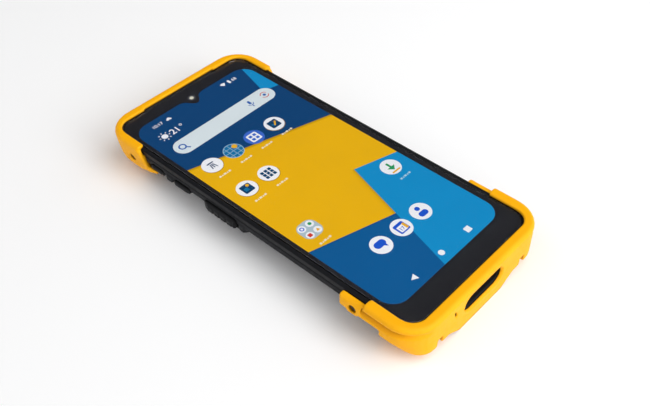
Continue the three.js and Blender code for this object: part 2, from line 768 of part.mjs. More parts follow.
// ---------- side keys ----------
// Each key is a cap that stands out of the wall, a wider flange inside it and a short stem.
const keyWallX = bodyHalfWidth - 2.3; // inner face of the wall where the keys pass through
const keyFlangeThickness = 0.7;
const keyStemEnd = keyWallX - 1.1;
const bigKeyHeight = 4.8;
const bigKeyZ = boardTop + 1.1;
const smallKeyProud = 0.9;
const bigKeyProud = 1.5;
const smallKey = { z: keyZ, height: smallKeyHeight, proud: smallKeyProud };
const topKey = { ...smallKey, proud: 0.5 };
const bigKey = { y0: topEnd - 80.7, y1: topEnd - 62.3, z: bigKeyZ, height: bigKeyHeight, proud: bigKeyProud };
const keys = [
  { name: "volume_up_key", side: -1, y0: topEnd - 37.4, y1: topEnd - 29.1, ...topKey },
  { name: "volume_down_key", side: -1, y0: topEnd - 53.6, y1: topEnd - 43.6, ...smallKey },
  { name: "left_function_key", side: -1, ...bigKey },
  { name: "power_key", side: 1, y0: topEnd - 59.5, y1: topEnd - 51.5, ...smallKey },
  { name: "right_function_key", side: 1, ...bigKey },
];
const keyFlangeMargin = 0.5;

// A key's outline in side view, grown all round and made longer by two distances.
function keyOutline({ y0, y1, z, height }, grow, longer = 0) {
  const r = Math.min(height / 2 - 0.05, 1.9) + grow;
  const reach = grow + longer;
  return roundedRectangle(y0 - reach, z - height / 2 - grow, y1 + reach, z + height / 2 + grow, r);
}

// Carries a (y, z) outline from the inner to the outer distance on one side of the body.
function sideways(outline, side, inner, outer) {
  return side > 0 ? alongX(outline, inner, outer) : alongX(outline, -outer, -inner);
}

// Plan of the outside of a key: a small dome, or a ramp and a ridged back on the big keys.
function keyCrown({ side, y0, y1, proud }) {
  const outer = bodyHalfWidth + proud;
  const points = [[keyWallX - 1, y0 - 1], [keyWallX - 1, y1 + 1]];
  if (proud > smallKeyProud) {
    const ridgeCount = 4;
    const ridgePitch = 3.6;
    const ridgeDepth = 0.45;
    const firstRidge = y1 - 3.4;
    points.push([bodyHalfWidth - 0.3, y1 + 1], [bodyHalfWidth + 0.1, y1], [outer, firstRidge]);
    for (let i = 0; i < ridgeCount; i++) {
      const top = firstRidge - i * ridgePitch;
      points.push([outer, top - ridgePitch + 1.2], [outer - ridgeDepth, top - ridgePitch + 0.9]);
      points.push([outer - ridgeDepth, top - ridgePitch + 0.3], [outer, top - ridgePitch]);
    }
    points.push([outer - 1.1, y0 + 0.2], [outer - 1.3, y0 - 1]);
  } else {
    points.push([bodyHalfWidth, y1 + 1], [bodyHalfWidth + 0.2, y1], [outer, y1 - 1.6]);
    points.push([outer, y0 + 1.6], [bodyHalfWidth + 0.2, y0], [bodyHalfWidth, y0 - 1]);
  }
  return slab(polygon(points.map(([x, y]) => [side * x, y])), -1, lipTop);
}

// Section of a key: its upper and lower edges are bevelled, the lower one more.
function keySection({ side, y0, y1, z, height, proud }) {
  const outer = bodyHalfWidth + proud;
  const upperBevel = 0.2 * height;
  const lowerBevel = 0.3 * height;
  const points = [
    [keyWallX - 1, z - height],
    [outer - 2 * lowerBevel, z - height / 2],
    [outer, z - height / 2 + lowerBevel],
    [outer, z + height / 2 - upperBevel],
    [outer - upperBevel, z + height / 2],
    [keyWallX - 1, z + height],
  ];
  return alongY(polygon(points.map(([x, level]) => [side * x, level])), y0 - 1, y1 + 1);
}

function buildKeys() {
  for (const key of keys) {
    const { name, side, y0, y1, z, proud } = key;
    const cap = sideways(keyOutline(key, 0), side, keyWallX - 0.3, bodyHalfWidth + proud);
    const flangeOuter = keyWallX - 0.2;
    const flangeInner = flangeOuter - keyFlangeThickness;
    const flange = sideways(keyOutline(key, 0, keyFlangeMargin), side, flangeInner, flangeOuter);
    const middle = (y0 + y1) / 2;
    const stem = lengthways(1, side * keyStemEnd, side * (flangeInner + 0.1), middle, z, 12);
    addPiece(name, cap.intersect(keyCrown(key)).intersect(keySection(key)).add(flange).add(stem), "rubber");
  }
}

function keyOpenings() {
  return join(keys.map((key) => {
    const opening = sideways(keyOutline(key, keyGap), key.side, keyWallX - 0.1, bodyHalfWidth + 4);
    const flangeOutline = keyOutline(key, keyGap, keyFlangeMargin);
    const chamber = sideways(flangeOutline, key.side, cavityHalfWidth - 0.1, keyWallX);
    return opening.add(chamber);
  }));
}

// ---------- card tray ----------
const trayZ = boardTop + 0.9;
const trayThickness = 0.9;
const trayLength = 21.2; // bar inside the head
const trayHeadHalfWidth = trayHalfWidth + 1.2;
const trayHeadHalfHeight = 1.6;
const trayHeadInner = bodyHalfWidth - 3.1;
const trayInnerX = trayHeadInner - trayLength;

function trayHead(grow, inner, outer) {
  const r = trayHeadHalfHeight - 0.1 + grow;
  const outline = roundedRectangle(
    trayY - trayHeadHalfWidth - grow,
    trayZ - trayHeadHalfHeight - grow,
    trayY + trayHeadHalfWidth + grow,
    trayZ + trayHeadHalfHeight + grow,
    r,
  );
  return alongX(outline, inner, outer);
}

function trayBar(grow, inner, outer) {
  return box(
    inner,
    outer,
    trayY - trayHalfWidth - grow,
    trayY + trayHalfWidth + grow,
    trayZ - trayThickness / 2 - grow,
    trayZ + trayThickness / 2 + grow,
  );
}

function buildCardTray() {
  const bar = trayBar(0, trayInnerX, trayHeadInner + 0.1);
  const windowHalf = trayHalfWidth - 1.8;
  const pinY = trayY + trayHeadHalfWidth - 2.4;
  const pinHole = lengthways(0.5, trayHeadInner - 1, bodyHalfWidth + 1, pinY, trayZ, 10);
  const cardWindow = box(
    trayInnerX + 2,
    trayInnerX + 12,
    trayY - windowHalf,
    trayY + windowHalf,
    trayZ - 2,
    trayZ + 2,
  );
  const head = trayHead(0, trayHeadInner, bodyHalfWidth).intersect(housingSkin()).subtract(pinHole);
  const tray = bar.subtract(cardWindow).add(head);
  addPiece("card_tray", tray, "frame");
  const reader = box(
    trayInnerX - 1,
    cavityHalfWidth - 1.8,
    trayY - readerHalfWidth,
    trayY + readerHalfWidth,
    boardTop + 0.05,
    trayZ + trayThickness / 2 + 0.2 + readerWall,
  );
  const readerSlot = trayBar(0.2, trayInnerX - 0.4, cavityHalfWidth);
  addPiece("card_reader", reader.subtract(readerSlot), "shield");
}

// ---------- rear housing ----------
const cameraY = topEnd - 31.9;
const cameraWindowRadius = 4.6;
const flashY = cameraY - 9;
const flashRadius = 2;
const windowThickness = 0.9;
const speakerX = deepCavityHalfWidth - 6;
const speakerY = subBoardY1 - 8;
const headRadius = 2.1;
const headThickness = 1.1;

// Section of the body: height, and how far its side is in from its widest line.
const bodyLevels = [
  [bodyBottom, 8.3],
  [bodyBottom + 0.9, 7.4],
  [5.4, 5.6],
  [8.5, 3.1],
  [10.5, 1.5],
  [partingZ - 2.6, 0],
  [housingTop, 0.2],
];

// The body between the bumpers has the same section all along.
function housingSkin() {
  const right = bodyLevels.map(([z, inset]) => [bodyHalfWidth - inset, z]);
  const left = right.map(([x, z]) => [-x, z]).reverse();
  return alongY(polygon([...right, ...left]), -bottomEnd + 10, topEnd - 10);
}

// A bumper's zone with the fitting clearance added all round.
function withClearance(zone) {
  const shifts = [[1, 1], [1, -1], [-1, 1], [-1, -1]];
  return join(shifts.map(([dy, dz]) => zone.translate([0, dy * fitGap, dz * fitGap])));
}

function housingCavity() {
  const middlePart = box(
    -farOut,
    farOut,
    -wrapStart + 2 + wall,
    topWrapStart - 2 - wall,
    cavityBottom,
    housingTop + 1,
  );
  const endPart = box(-farOut, farOut, -pastEnd, pastEnd, seatBottom + wall, housingTop + 1);
  const upper = planSlab(cavityPlan, upperCavityZ, housingTop + 1);
  const middle = planSlab({ ...cavityPlan, half: midCavityHalfWidth }, midCavityZ, upperCavityZ + 1);
  const deep = box(-deepCavityHalfWidth, deepCavityHalfWidth, -pastEnd, pastEnd, 0, housingTop + 1);
  return join([upper, middle]).intersect(endPart).add(deep.intersect(middlePart));
}

function buildHousing() {
  const clearedEnds = withClearance(bottomZone()).add(withClearance(topZone()));
  const middle = housingSkin().subtract(clearedEnds);
  const back = spine(-wrapStart, topWrapStart, padBottom, cavityBottom).subtract(clearedEnds);
  const guards = sideGuards().subtract(clearedEnds);
  const seat = seatLoft(0).intersect(clearedEnds.add(housingSkin()));
  let housing = join([middle, seat, back, guards, portCollar()]);
  housing = housing.subtract(housingCavity());
  housing = housing.add(join(forEachHousingScrew((x, y) =>
    upright(bossRadius, x, y, cavityBottom - 0.5, bossSplitZ - 0.1, 16),
  )));
  const screwCuts = forEachHousingScrew((x, y) => join([
    upright(headRadius + fitGap, x, y, bodyBottom - 2, bodyBottom + headThickness + 0.3, 20),
    upright(screwRadius + 0.1, x, y, bodyBottom, bossSplitZ + 1, 12),
  ]));
  const cuts = [
    ...screwCuts,
    keyOpenings(),
    ...bumperScrews.map(bumperScrewCut),
    trayHead(fitGap, trayHeadInner - 0.1, bodyHalfWidth + 1),
    trayBar(0.25, cavityHalfWidth - 1, bodyHalfWidth),
    upright(cameraWindowRadius + 0.1, 0, cameraY, -1, padBottom + windowThickness + 0.1, 32),
    upright(cameraWindowRadius - 1.2, 0, cameraY, -1, cavityBottom + 1, 24),
    upright(flashRadius + 0.1, 0, flashY, -1, padBottom + windowThickness + 0.1, 20),
    upright(flashRadius - 0.6, 0, flashY, -1, cavityBottom + 1, 16),
    portOpening(0, -bottomEnd, -rimBottom + portPocketDepth),
    connectorPassage(),
    micSlit(),
    ...speakerSlots(),
  ];
  addPiece("rear_housing", housing.subtract(join(cuts)), "housing");
}

// The collar round the connector opening, which reaches through the bumper's wall.
function portCollar() {
  const collar = portOpening(portCollarWall, portCollarY, -rimBottom + 1);
  return collar.subtract(planSlab(grown(rimPlan, fitGap), housingTop, lipTop));
}

// Raised guards between the left keys and below both big keys, and a bed round each big key.
function sideGuards() {
  const guard = (side, y0, y1, z, height, proud) => {
    const outline = roundedRectangle(y0, z - height / 2, y1, z + height / 2, 0.8);
    return sideways(outline, side, bodyHalfWidth - 2, bodyHalfWidth + proud);
  };
  const bed = ({ side, y0, y1, z }) => {
    const outer = bodyHalfWidth - 0.5;
    const points = [
      [outer - 3, z - 4.4],
      [outer - 0.7, z - 3],
      [outer, z - 1.8],
      [outer, z + 2.4],
      [outer - 3, z + 3.2],
    ];
    return alongY(polygon(points.map(([x, level]) => [side * x, level])), y0 - 3.6, y1 + 1);
  };
  const bigKeys = keys.filter(({ proud }) => proud > smallKeyProud);
  return join([
    guard(-1, topEnd - 42.9, topEnd - 38.9, keyZ, 2.6, 0.45),
    ...bigKeys.map(bed),
    ...bigKeys.map(({ side, y0, z }) => guard(side, y0 - 4.6, y0 - 1.5, z, 3.2, 0.3)),
  ]);
}

function speakerSlots() {
  const slots = [];
  const slotCount = 4;
  const pitch = 2;
  for (let i = 0; i < slotCount; i++) {
    const y = speakerY + (i - (slotCount - 1) / 2) * pitch;
    const outline = roundedRectangle(speakerX - 2.8, y - 0.5, speakerX + 4, y + 0.5, 0.45);
    slots.push(slab(outline, 0, cavityBottom + 1));
  }
  return slots;
}

const connectorHalfWidth = 4.5;
const connectorHalfHeight = 1.6;
const connectorZ = boardTop + connectorHalfHeight + 0.1;

function connectorPassage() {
  const grow = 0.15;
  const outline = roundedRectangle(
    -connectorHalfWidth - grow,
    connectorZ - connectorHalfHeight - grow,
    connectorHalfWidth + grow,
    connectorZ + connectorHalfHeight + grow,
    connectorHalfHeight,
  );
  return alongY(outline, -rimBottom - 1, -rimBottom + 6);
}

function buildHousingScrews() {
  const names = ["left_top", "left_middle", "left_bottom", "right_top", "right_middle", "right_bottom"];
  const solids = forEachHousingScrew((x, y) => {
    const headZ = bodyBottom + 0.2;
    const head = upright(headRadius, x, y, headZ, headZ + headThickness, 20);
    const shank = upright(screwRadius, x, y, headZ + 0.5, frameFloorZ + 0.1, 12);
    const socket = upright(1, x, y, headZ - 1, headZ + 0.6, 6);
    return head.add(shank).subtract(socket);
  });
  solids.forEach((solid, i) => addPiece(`housing_screw_${names[i]}`, solid, "steel"));
}

// ---------- rear camera, flash and speaker ----------
function buildRearOptics() {
  const windowTop = padBottom + windowThickness;
  addPiece("camera_window", upright(cameraWindowRadius, 0, cameraY, padBottom, windowTop, 32), "glass");
  addPiece("flash_lens", upright(flashRadius, 0, flashY, padBottom, windowTop, 20), "ceramic");
  const barrel = upright(cameraWindowRadius - 1.4, 0, cameraY, windowTop + 0.4, cavityBottom + 0.5, 24);
  const module = box(-6.5, 6.5, cameraY - 6.5, cameraY + 6.5, cavityBottom + 0.2, boardZ - 0.2);
  addPiece("rear_camera", barrel.add(module), "lens");
}

function buildSound() {
  const speakerTop = boardZ - 0.2;
  const body = box(speakerX - 14, speakerX + 5, speakerY - 8, speakerY + 7, cavityBottom + 0.4, speakerTop);
  const cone = upright(4.5, speakerX - 5, speakerY, cavityBottom + 0.2, cavityBottom + 0.6, 24);
  addPiece("loudspeaker", body.add(cone), "rubber");
  const motorX = -deepCavityHalfWidth + 10;
  const motor = upright(5, motorX, speakerY, cavityBottom + 0.2, cavityBottom + 3.2, 24);
  addPiece("vibration_motor", motor, "steel");
  const receiverTop = frameFloorZ - 0.1;
  const receiver = box(-6, 6, mainBoardY1 - 6.5, mainBoardY1 - 0.5, boardTop + 0.1, receiverTop);
  addPiece("earpiece_receiver", receiver, "rubber");
}

// ---------- boards, battery, radio ----------
function buildBoards() {
  const board = (y0, y1) =>
    slab(roundedRectangle(-boardHalfWidth, y0, boardHalfWidth, y1, 4), boardZ, boardTop);
  addPiece("main_board", board(mainBoardY0, mainBoardY1), "board");
  addPiece("connector_board", board(subBoardY0, subBoardY1), "board");
  const shieldTop = boardTop + 2.2;
  const shieldX = trayInnerX - 4;
  const radioX = boardHalfWidth - 2.3;
  const processorShield = shieldCan(shieldX - 23, shieldX, mainBoardY0 + 9, mainBoardY0 + 27, shieldTop);
  addPiece("processor_shield", processorShield, "shield");
  const radioShield = shieldCan(shieldX, radioX, mainBoardY1 - 22, mainBoardY1 - 3, shieldTop);
  addPiece("radio_shield", radioShield, "shield");
  const microphone = box(
    micX - 1.8,
    micX + 1.8,
    subBoardY0 + 1,
    subBoardY0 + 3.8,
    boardTop + 0.05,
    boardTop + 1.2,
  );
  addPiece("microphone", microphone, "shield");
}

// A pressed can, open below.
function shieldCan(x0, x1, y0, y1, top) {
  const sheet = 0.3;
  const outside = box(x0, x1, y0, y1, boardTop + 0.05, top);
  const inside = box(x0 + sheet, x1 - sheet, y0 + sheet, y1 - sheet, boardTop - 1, top - sheet);
  return outside.subtract(inside);
}

function buildPower() {
  const battery = slab(
    roundedRectangle(-batteryHalfWidth, batteryY0, batteryHalfWidth, batteryY1, 2),
    cavityBottom + 0.2,
    boardZ,
  );
  addPiece("battery_pack", battery, "battery");
  const shellOutline = (grow) =>
    roundedRectangle(
      -connectorHalfWidth - grow,
      connectorZ - connectorHalfHeight - grow,
      connectorHalfWidth + grow,
      connectorZ + connectorHalfHeight + grow,
      connectorHalfHeight - 0.1 + grow,
    );
  const mouth = -rimBottom + portPocketDepth + 0.3;
  const shell = alongY(shellOutline(0), mouth, mouth + 7.2);
  const bore = alongY(shellOutline(-0.3), mouth - 1, mouth + 6);
  const tongue = box(-3.4, 3.4, mouth + 0.8, mouth + 6.5, connectorZ - 0.35, connectorZ + 0.35);
  addPiece("usb_connector", shell.subtract(bore).add(tongue), "steel");
}

function buildRadio() {
  const top = frameFloorZ - 0.2;
  const x0 = -boardHalfWidth + 1.3;
  const antenna = box(x0, x0 + 16, mainBoardY1 - 17.5, mainBoardY1 - 2, boardTop + 0.05, top);
  addPiece("gnss_antenna", antenna, "ceramic");
}

// The ribbon between the two boards, with a plug at each end.
function buildRibbon() {
  const half = 6;
  const z0 = boardTop + 0.4;
  const thickness = 0.3;
  const strip = box(-half, half, subBoardY1 - 6, mainBoardY0 + 2.2, z0, z0 + thickness);
  const plug = (y0) => box(-half, half, y0, y0 + 2.4, boardTop + 0.05, z0 + 0.9);
  const ribbon = join([strip, plug(subBoardY1 - 6), plug(mainBoardY0 - 0.1)]);
  addPiece("board_ribbon", ribbon, "polyimide");
  const spreaderTop = frameFloorZ - 0.1;
  const spreader = box(
    -batteryHalfWidth,
    batteryHalfWidth,
    batteryY0 + 6,
    batteryY1 - 4,
    spreaderTop - 0.4,
    spreaderTop,
  );
  addPiece("heat_spreader", spreader, "copper");
}

// Thin boards inside each wall, with one switch behind each key.
function buildSwitchBoards() {
  for (const [name, side] of [["left_switch_board", -1], ["right_switch_board", 1]]) {
    const own = keys.filter((key) => key.side === side);
    const y0 = Math.min(...own.map((key) => key.y0)) + 5;
    const y1 = Math.max(...own.map((key) => key.y1)) - 3;
    const face = cavityHalfWidth - 0.3;
    const back = face - 0.8;
    const strip = sideways(roundedRectangle(y0, boardTop - 0.5, y1, boardTop + 3.1, 0.8), side, back, face);
    const switchEnd = keyStemEnd - keyTravel - 0.1;
    const switches = own.map((key) =>
      lengthways(1, side * (face - 0.1), side * switchEnd, (key.y0 + key.y1) / 2, key.z, 16),
    );
    addPiece(name, join([strip, ...switches]), "board");
  }
}

buildDisplay();
buildMiddleFrame();
buildHousing();
buildBottomBumper();
buildTopBumper();
buildBumperScrews();
buildHousingScrews();
buildKeys();
buildCardTray();
buildRearOptics();
buildSound();
buildBoards();
buildPower();
buildRadio();
buildRibbon();
buildSwitchBoards();

// y = 0 goes to the middle of the object's length.
device.position.y = (bottomEnd - topEnd) / 2;

export default device;
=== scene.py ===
import json
import math

import bmesh
import bpy
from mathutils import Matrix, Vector
from mathutils.geometry import tessellate_polygon


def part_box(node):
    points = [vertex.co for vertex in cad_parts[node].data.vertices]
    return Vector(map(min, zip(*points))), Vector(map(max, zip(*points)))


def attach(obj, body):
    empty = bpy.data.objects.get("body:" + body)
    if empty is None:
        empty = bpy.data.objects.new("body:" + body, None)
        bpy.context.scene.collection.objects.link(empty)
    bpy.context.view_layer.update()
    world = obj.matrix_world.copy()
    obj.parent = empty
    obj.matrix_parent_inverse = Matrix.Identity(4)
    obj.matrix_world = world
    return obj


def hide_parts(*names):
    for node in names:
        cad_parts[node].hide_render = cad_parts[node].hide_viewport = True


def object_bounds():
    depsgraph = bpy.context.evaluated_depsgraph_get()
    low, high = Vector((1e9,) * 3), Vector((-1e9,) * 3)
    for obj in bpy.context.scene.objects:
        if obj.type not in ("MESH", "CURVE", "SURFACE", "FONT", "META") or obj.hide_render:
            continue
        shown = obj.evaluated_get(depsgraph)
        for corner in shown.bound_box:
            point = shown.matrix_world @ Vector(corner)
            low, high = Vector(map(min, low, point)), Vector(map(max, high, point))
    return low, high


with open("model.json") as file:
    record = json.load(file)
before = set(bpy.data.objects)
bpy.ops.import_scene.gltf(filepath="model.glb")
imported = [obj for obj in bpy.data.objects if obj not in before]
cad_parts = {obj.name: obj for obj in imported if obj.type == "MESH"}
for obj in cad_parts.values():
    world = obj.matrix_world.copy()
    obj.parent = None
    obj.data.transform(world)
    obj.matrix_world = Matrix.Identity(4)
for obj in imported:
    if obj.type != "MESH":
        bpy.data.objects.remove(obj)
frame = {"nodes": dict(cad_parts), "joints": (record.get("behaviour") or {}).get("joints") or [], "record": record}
cad_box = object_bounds()
nodes = frame["nodes"]

MM = 0.001

# ---------- the screen, from the frame ----------
panel_low, panel_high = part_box("display_panel")
glass_low, glass_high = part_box("cover_glass")
camera_low, camera_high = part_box("front_camera")
PANEL_MARGIN = 0.4 * MM  # panel outside the lit area
LIT_HALF = (panel_high.x - panel_low.x) / 2 - PANEL_MARGIN
LIT_END = (panel_high.y - panel_low.y) / 2 - PANEL_MARGIN
LIT_ASIDE = -0.3 * MM  # the picture's middle from the panel's middle
LIT_MIDDLE = (panel_high.y + panel_low.y) / 2 - 0.4 * MM
DESIGN_HALF = 33.5  # the picture is laid out on a lit area with this half width
UNIT = LIT_HALF / DESIGN_HALF
DESIGN_END = LIT_END / UNIT
LAYER = (glass_low.z - panel_high.z) / 12  # thickness of one printed layer under the glass
SCREEN_LIGHT = 1.12  # how strongly the picture glows


# ---------- colours ----------
def linear(value):
    """One channel from the 0..255 scale to the linear scale that the shaders use."""
    share = value / 255
    return share / 12.92 if share <= 0.04045 else ((share + 0.055) / 1.055) ** 2.4


def srgb(red, green, blue):
    return (linear(red), linear(green), linear(blue), 1.0)


def scaled(colour, factor):
    return (colour[0] * factor, colour[1] * factor, colour[2] * factor, 1.0)


# ---------- shader parts ----------
def start_material(name):
    material = bpy.data.materials.new(name)
    material.use_nodes = True
    return material, material.node_tree, material.node_tree.nodes["Principled BSDF"]


def noise(tree, size, detail=3.0, stretch=(1, 1, 1)):
    """Noise over the object, with features of about this size in metres."""
    coordinates = tree.nodes.new("ShaderNodeTexCoord")
    mapping = tree.nodes.new("ShaderNodeMapping")
    mapping.inputs["Scale"].default_value = stretch
    texture = tree.nodes.new("ShaderNodeTexNoise")
    texture.inputs["Scale"].default_value = 1 / size
    texture.inputs["Detail"].default_value = detail
    tree.links.new(coordinates.outputs["Object"], mapping.inputs["Vector"])
    tree.links.new(mapping.outputs["Vector"], texture.inputs["Vector"])
    return texture.outputs[0]


def spread(tree, value, low, high, start=0.0, end=1.0):
    """Carries values from low..high to start..end, held at both ends."""
    node = tree.nodes.new("ShaderNodeMapRange")
    node.inputs["From Min"].default_value = low
    node.inputs["From Max"].default_value = high
    node.inputs["To Min"].default_value = start
    node.inputs["To Max"].default_value = end
    tree.links.new(value, node.inputs["Value"])
    return node.outputs["Result"]


def blend_colours(tree, factor, first, second):
    """Goes from the first colour to the second. Each is a colour or a socket that gives one."""
    node = tree.nodes.new("ShaderNodeMix")
    node.data_type = "RGBA"
    tree.links.new(factor, node.inputs["Factor"])
    for socket, colour in ((node.inputs[6], first), (node.inputs[7], second)):
        if isinstance(colour, tuple):
            socket.default_value = colour
        else:
            tree.links.new(colour, socket)
    return node.outputs[2]


def calculate(tree, operation, first, second):
    """One calculation with two values. Each is a number or a socket that gives one."""
    node = tree.nodes.new("ShaderNodeMath")
    node.operation = operation
    for socket, value in ((node.inputs[0], first), (node.inputs[1], second)):
        if isinstance(value, (int, float)):
            socket.default_value = value
        else:
            tree.links.new(value, socket)
    return node.outputs["Value"]


def bump(tree, shader, height, distance):
    """Tilts the surface as if it rose and fell with height."""
    node = tree.nodes.new("ShaderNodeBump")
    node.inputs["Distance"].default_value = distance
    tree.links.new(height, node.inputs["Height"])
    tree.links.new(node.outputs["Normal"], shader.inputs["Normal"])


def edges(tree):
    """High on worn outer edges, from how sharply the surface turns."""
    geometry = tree.nodes.new("ShaderNodeNewGeometry")
    return spread(tree, geometry.outputs["Pointiness"], 0.53, 0.62)


HOLLOW_REACH = 4 * MM  # how near a facing wall has to be to make a recess narrow and give it painted shade


def painted_recess_shade(tree):
    """High in narrow recesses, where light is lost: a mask for painted shade."""
    nearness = tree.nodes.new("ShaderNodeAmbientOcclusion")
    nearness.samples = 8
    nearness.inputs["Distance"].default_value = HOLLOW_REACH
    return spread(tree, nearness.outputs["AO"], 0.25, 0.72, 1, 0)


# ---------- materials ----------
MOTTLE = 9 * MM  # size of the patches on moulded surfaces
SCUFF = 1.6 * MM  # size of the rubbed places along worn edges


def moulded(name, colour, other, rough, grain, depth, wear, shine):
    """Moulded plastic or rubber: two mottled colours and a fine grain.
    With a wear colour, its outer edges are rubbed and its recesses darkened with painted shade."""
    material, tree, shader = start_material(name)
    shader.inputs["Specular IOR Level"].default_value = shine
    patches = spread(tree, noise(tree, MOTTLE), 0.35, 0.65)
    surface = blend_colours(tree, patches, colour, other)
    if wear is not None:
        scuffs = spread(tree, noise(tree, SCUFF, 5), 0.45, 0.7)
        rubbed = calculate(tree, "MULTIPLY", edges(tree), scuffs)
        surface = blend_colours(tree, rubbed, surface, wear)
        # painted shade: narrow recesses darkened towards a fifth of the colour
        surface = blend_colours(tree, painted_recess_shade(tree), surface, scaled(colour, 0.2))
    tree.links.new(surface, shader.inputs["Base Color"])
    fine = noise(tree, grain, 2)
    coarse = noise(tree, 6 * grain, 4)
    relief = calculate(tree, "ADD", fine, calculate(tree, "MULTIPLY", coarse, 0.6))
    tree.links.new(spread(tree, coarse, 0.3, 0.7, rough[0], rough[1]), shader.inputs["Roughness"])
    bump(tree, shader, relief, depth)
    return material


def metal(name, colour, rough, stretch=(1, 1, 1)):
    """Bare metal with fine marks from rolling or turning, and dull patches."""
    material, tree, shader = start_material(name)
    marks = noise(tree, 0.5 * MM, 4, stretch)
    dull = spread(tree, noise(tree, 4 * MM, 3), 0.35, 0.7)
    surface = blend_colours(tree, dull, colour, scaled(colour, 0.72))
    tree.links.new(surface, shader.inputs["Base Color"])
    shader.inputs["Metallic"].default_value = 1.0
    tree.links.new(spread(tree, marks, 0.3, 0.7, rough[0], rough[1]), shader.inputs["Roughness"])
    bump(tree, shader, marks, 0.01 * MM)
    return material


def window_glass(name, tint):
    """Clear glass that lets lamps through to what lies under it."""
    material, tree, shader = start_material(name)
    shader.inputs["Base Color"].default_value = tint
    shader.inputs["Transmission Weight"].default_value = 1.0
    shader.inputs["IOR"].default_value = 1.5
    smear = spread(tree, noise(tree, 14 * MM, 4), 0.4, 0.7, 0.015, 0.06)
    tree.links.new(smear, shader.inputs["Roughness"])
    clear = tree.nodes.new("ShaderNodeBsdfTransparent")
    rays = tree.nodes.new("ShaderNodeLightPath")
    choice = tree.nodes.new("ShaderNodeMixShader")
    tree.links.new(rays.outputs["Is Shadow Ray"], choice.inputs["Fac"])
    tree.links.new(shader.outputs["BSDF"], choice.inputs[1])
    tree.links.new(clear.outputs["BSDF"], choice.inputs[2])
    tree.links.new(choice.outputs["Shader"], tree.nodes["Material Output"].inputs["Surface"])
    return material


def beside_edge(tree, point, direction, width, strength):
    """Strength at a straight edge of the picture, falling to none at this width into the colour."""
    coordinates = tree.nodes.new("ShaderNodeTexCoord")
    separate = tree.nodes.new("ShaderNodeSeparateXYZ")
    tree.links.new(coordinates.outputs["Object"], separate.inputs["Vector"])
    start = placed(*point)
    sideways = calculate(tree, "MULTIPLY", separate.outputs["X"], direction[0])
    lengthways = calculate(tree, "MULTIPLY", separate.outputs["Y"], direction[1])
    inward = calculate(tree, "ADD", sideways, lengthways)
    depth = calculate(tree, "SUBTRACT", inward, start.x * direction[0] + start.y * direction[1])
    return spread(tree, depth, 0, width * UNIT, strength, 0)


def lit_colour(name, colour, shades=()):
    """A colour of the lit picture. Each shade darkens a strip inside a straight edge:
    a point on the edge, the direction into the colour, the strip's width, its strength."""
    material, tree, shader = start_material(name)
    clouds = spread(tree, noise(tree, 30 * MM, 2), 0.3, 0.7)
    glow = blend_colours(tree, clouds, colour, scaled(colour, 0.94))
    for shade in shades:
        glow = blend_colours(tree, beside_edge(tree, *shade), glow, scaled(colour, 0.12))
    speckle = spread(tree, noise(tree, 0.08 * MM, 0), 0.2, 0.8, 0.96, 1.0)
    shader.inputs["Base Color"].default_value = (0.002, 0.002, 0.003, 1.0)
    shader.inputs["Roughness"].default_value = 0.5
    shader.inputs["Specular IOR Level"].default_value = 0.0
    dimmed = tree.nodes.new("ShaderNodeMix")
    dimmed.data_type = "RGBA"
    dimmed.blend_type = "MULTIPLY"
    dimmed.inputs["Factor"].default_value = 1.0
    tree.links.new(glow, dimmed.inputs[6])
    tree.links.new(speckle, dimmed.inputs[7])
    tree.links.new(dimmed.outputs[2], shader.inputs["Emission Color"])
    shader.inputs["Emission Strength"].default_value = SCREEN_LIGHT
    return material


def circuit_board(name):
    """Green solder mask with tracks showing through as lines of another green."""
    material, tree, shader = start_material(name)
    coordinates = tree.nodes.new("ShaderNodeTexCoord")
    bricks = tree.nodes.new("ShaderNodeTexBrick")
    bricks.inputs["Scale"].default_value = 90
    bricks.inputs["Mortar Size"].default_value = 0.06
    tree.links.new(coordinates.outputs["Object"], bricks.inputs["Vector"])
    tracks = blend_colours(tree, bricks.outputs["Fac"], srgb(18, 74, 44), srgb(44, 116, 66))
    patches = spread(tree, noise(tree, 3 * MM, 4), 0.4, 0.6)
    tree.links.new(blend_colours(tree, patches, tracks, srgb(14, 60, 38)), shader.inputs["Base Color"])
    tree.links.new(spread(tree, patches, 0, 1, 0.3, 0.5), shader.inputs["Roughness"])
    bump(tree, shader, bricks.outputs["Fac"], 0.03 * MM)
    return material


def steel_gauze(name):
    """Blackened steel mesh with small dark holes."""
    material, tree, shader = start_material(name)
    coordinates = tree.nodes.new("ShaderNodeTexCoord")
    cells = tree.nodes.new("ShaderNodeTexVoronoi")
    cells.inputs["Scale"].default_value = 1 / (0.35 * MM)
    cells.inputs["Randomness"].default_value = 0.0
    tree.links.new(coordinates.outputs["Object"], cells.inputs["Vector"])
    wires = spread(tree, cells.outputs["Distance"], 0.3, 0.45)
    tree.links.new(blend_colours(tree, wires, srgb(6, 6, 7), srgb(62, 63, 67)), shader.inputs["Base Color"])
    tree.links.new(spread(tree, wires, 0, 1, 0.6, 0.35), shader.inputs["Roughness"])
    bump(tree, shader, wires, 0.06 * MM)
    return material


def battery_film(name):
    """Grey film over the cell, with a soft wrinkle along its length."""
    material, tree, shader = start_material(name)
    wrinkles = noise(tree, 5 * MM, 3, (1, 0.25, 1))
    tone = spread(tree, wrinkles, 0.3, 0.7)
    film = blend_colours(tree, tone, srgb(50, 53, 58), srgb(68, 71, 77))
    tree.links.new(film, shader.inputs["Base Color"])
    tree.links.new(spread(tree, wrinkles, 0.3, 0.7, 0.32, 0.5), shader.inputs["Roughness"])
    bump(tree, shader, wrinkles, 0.15 * MM)
    return material


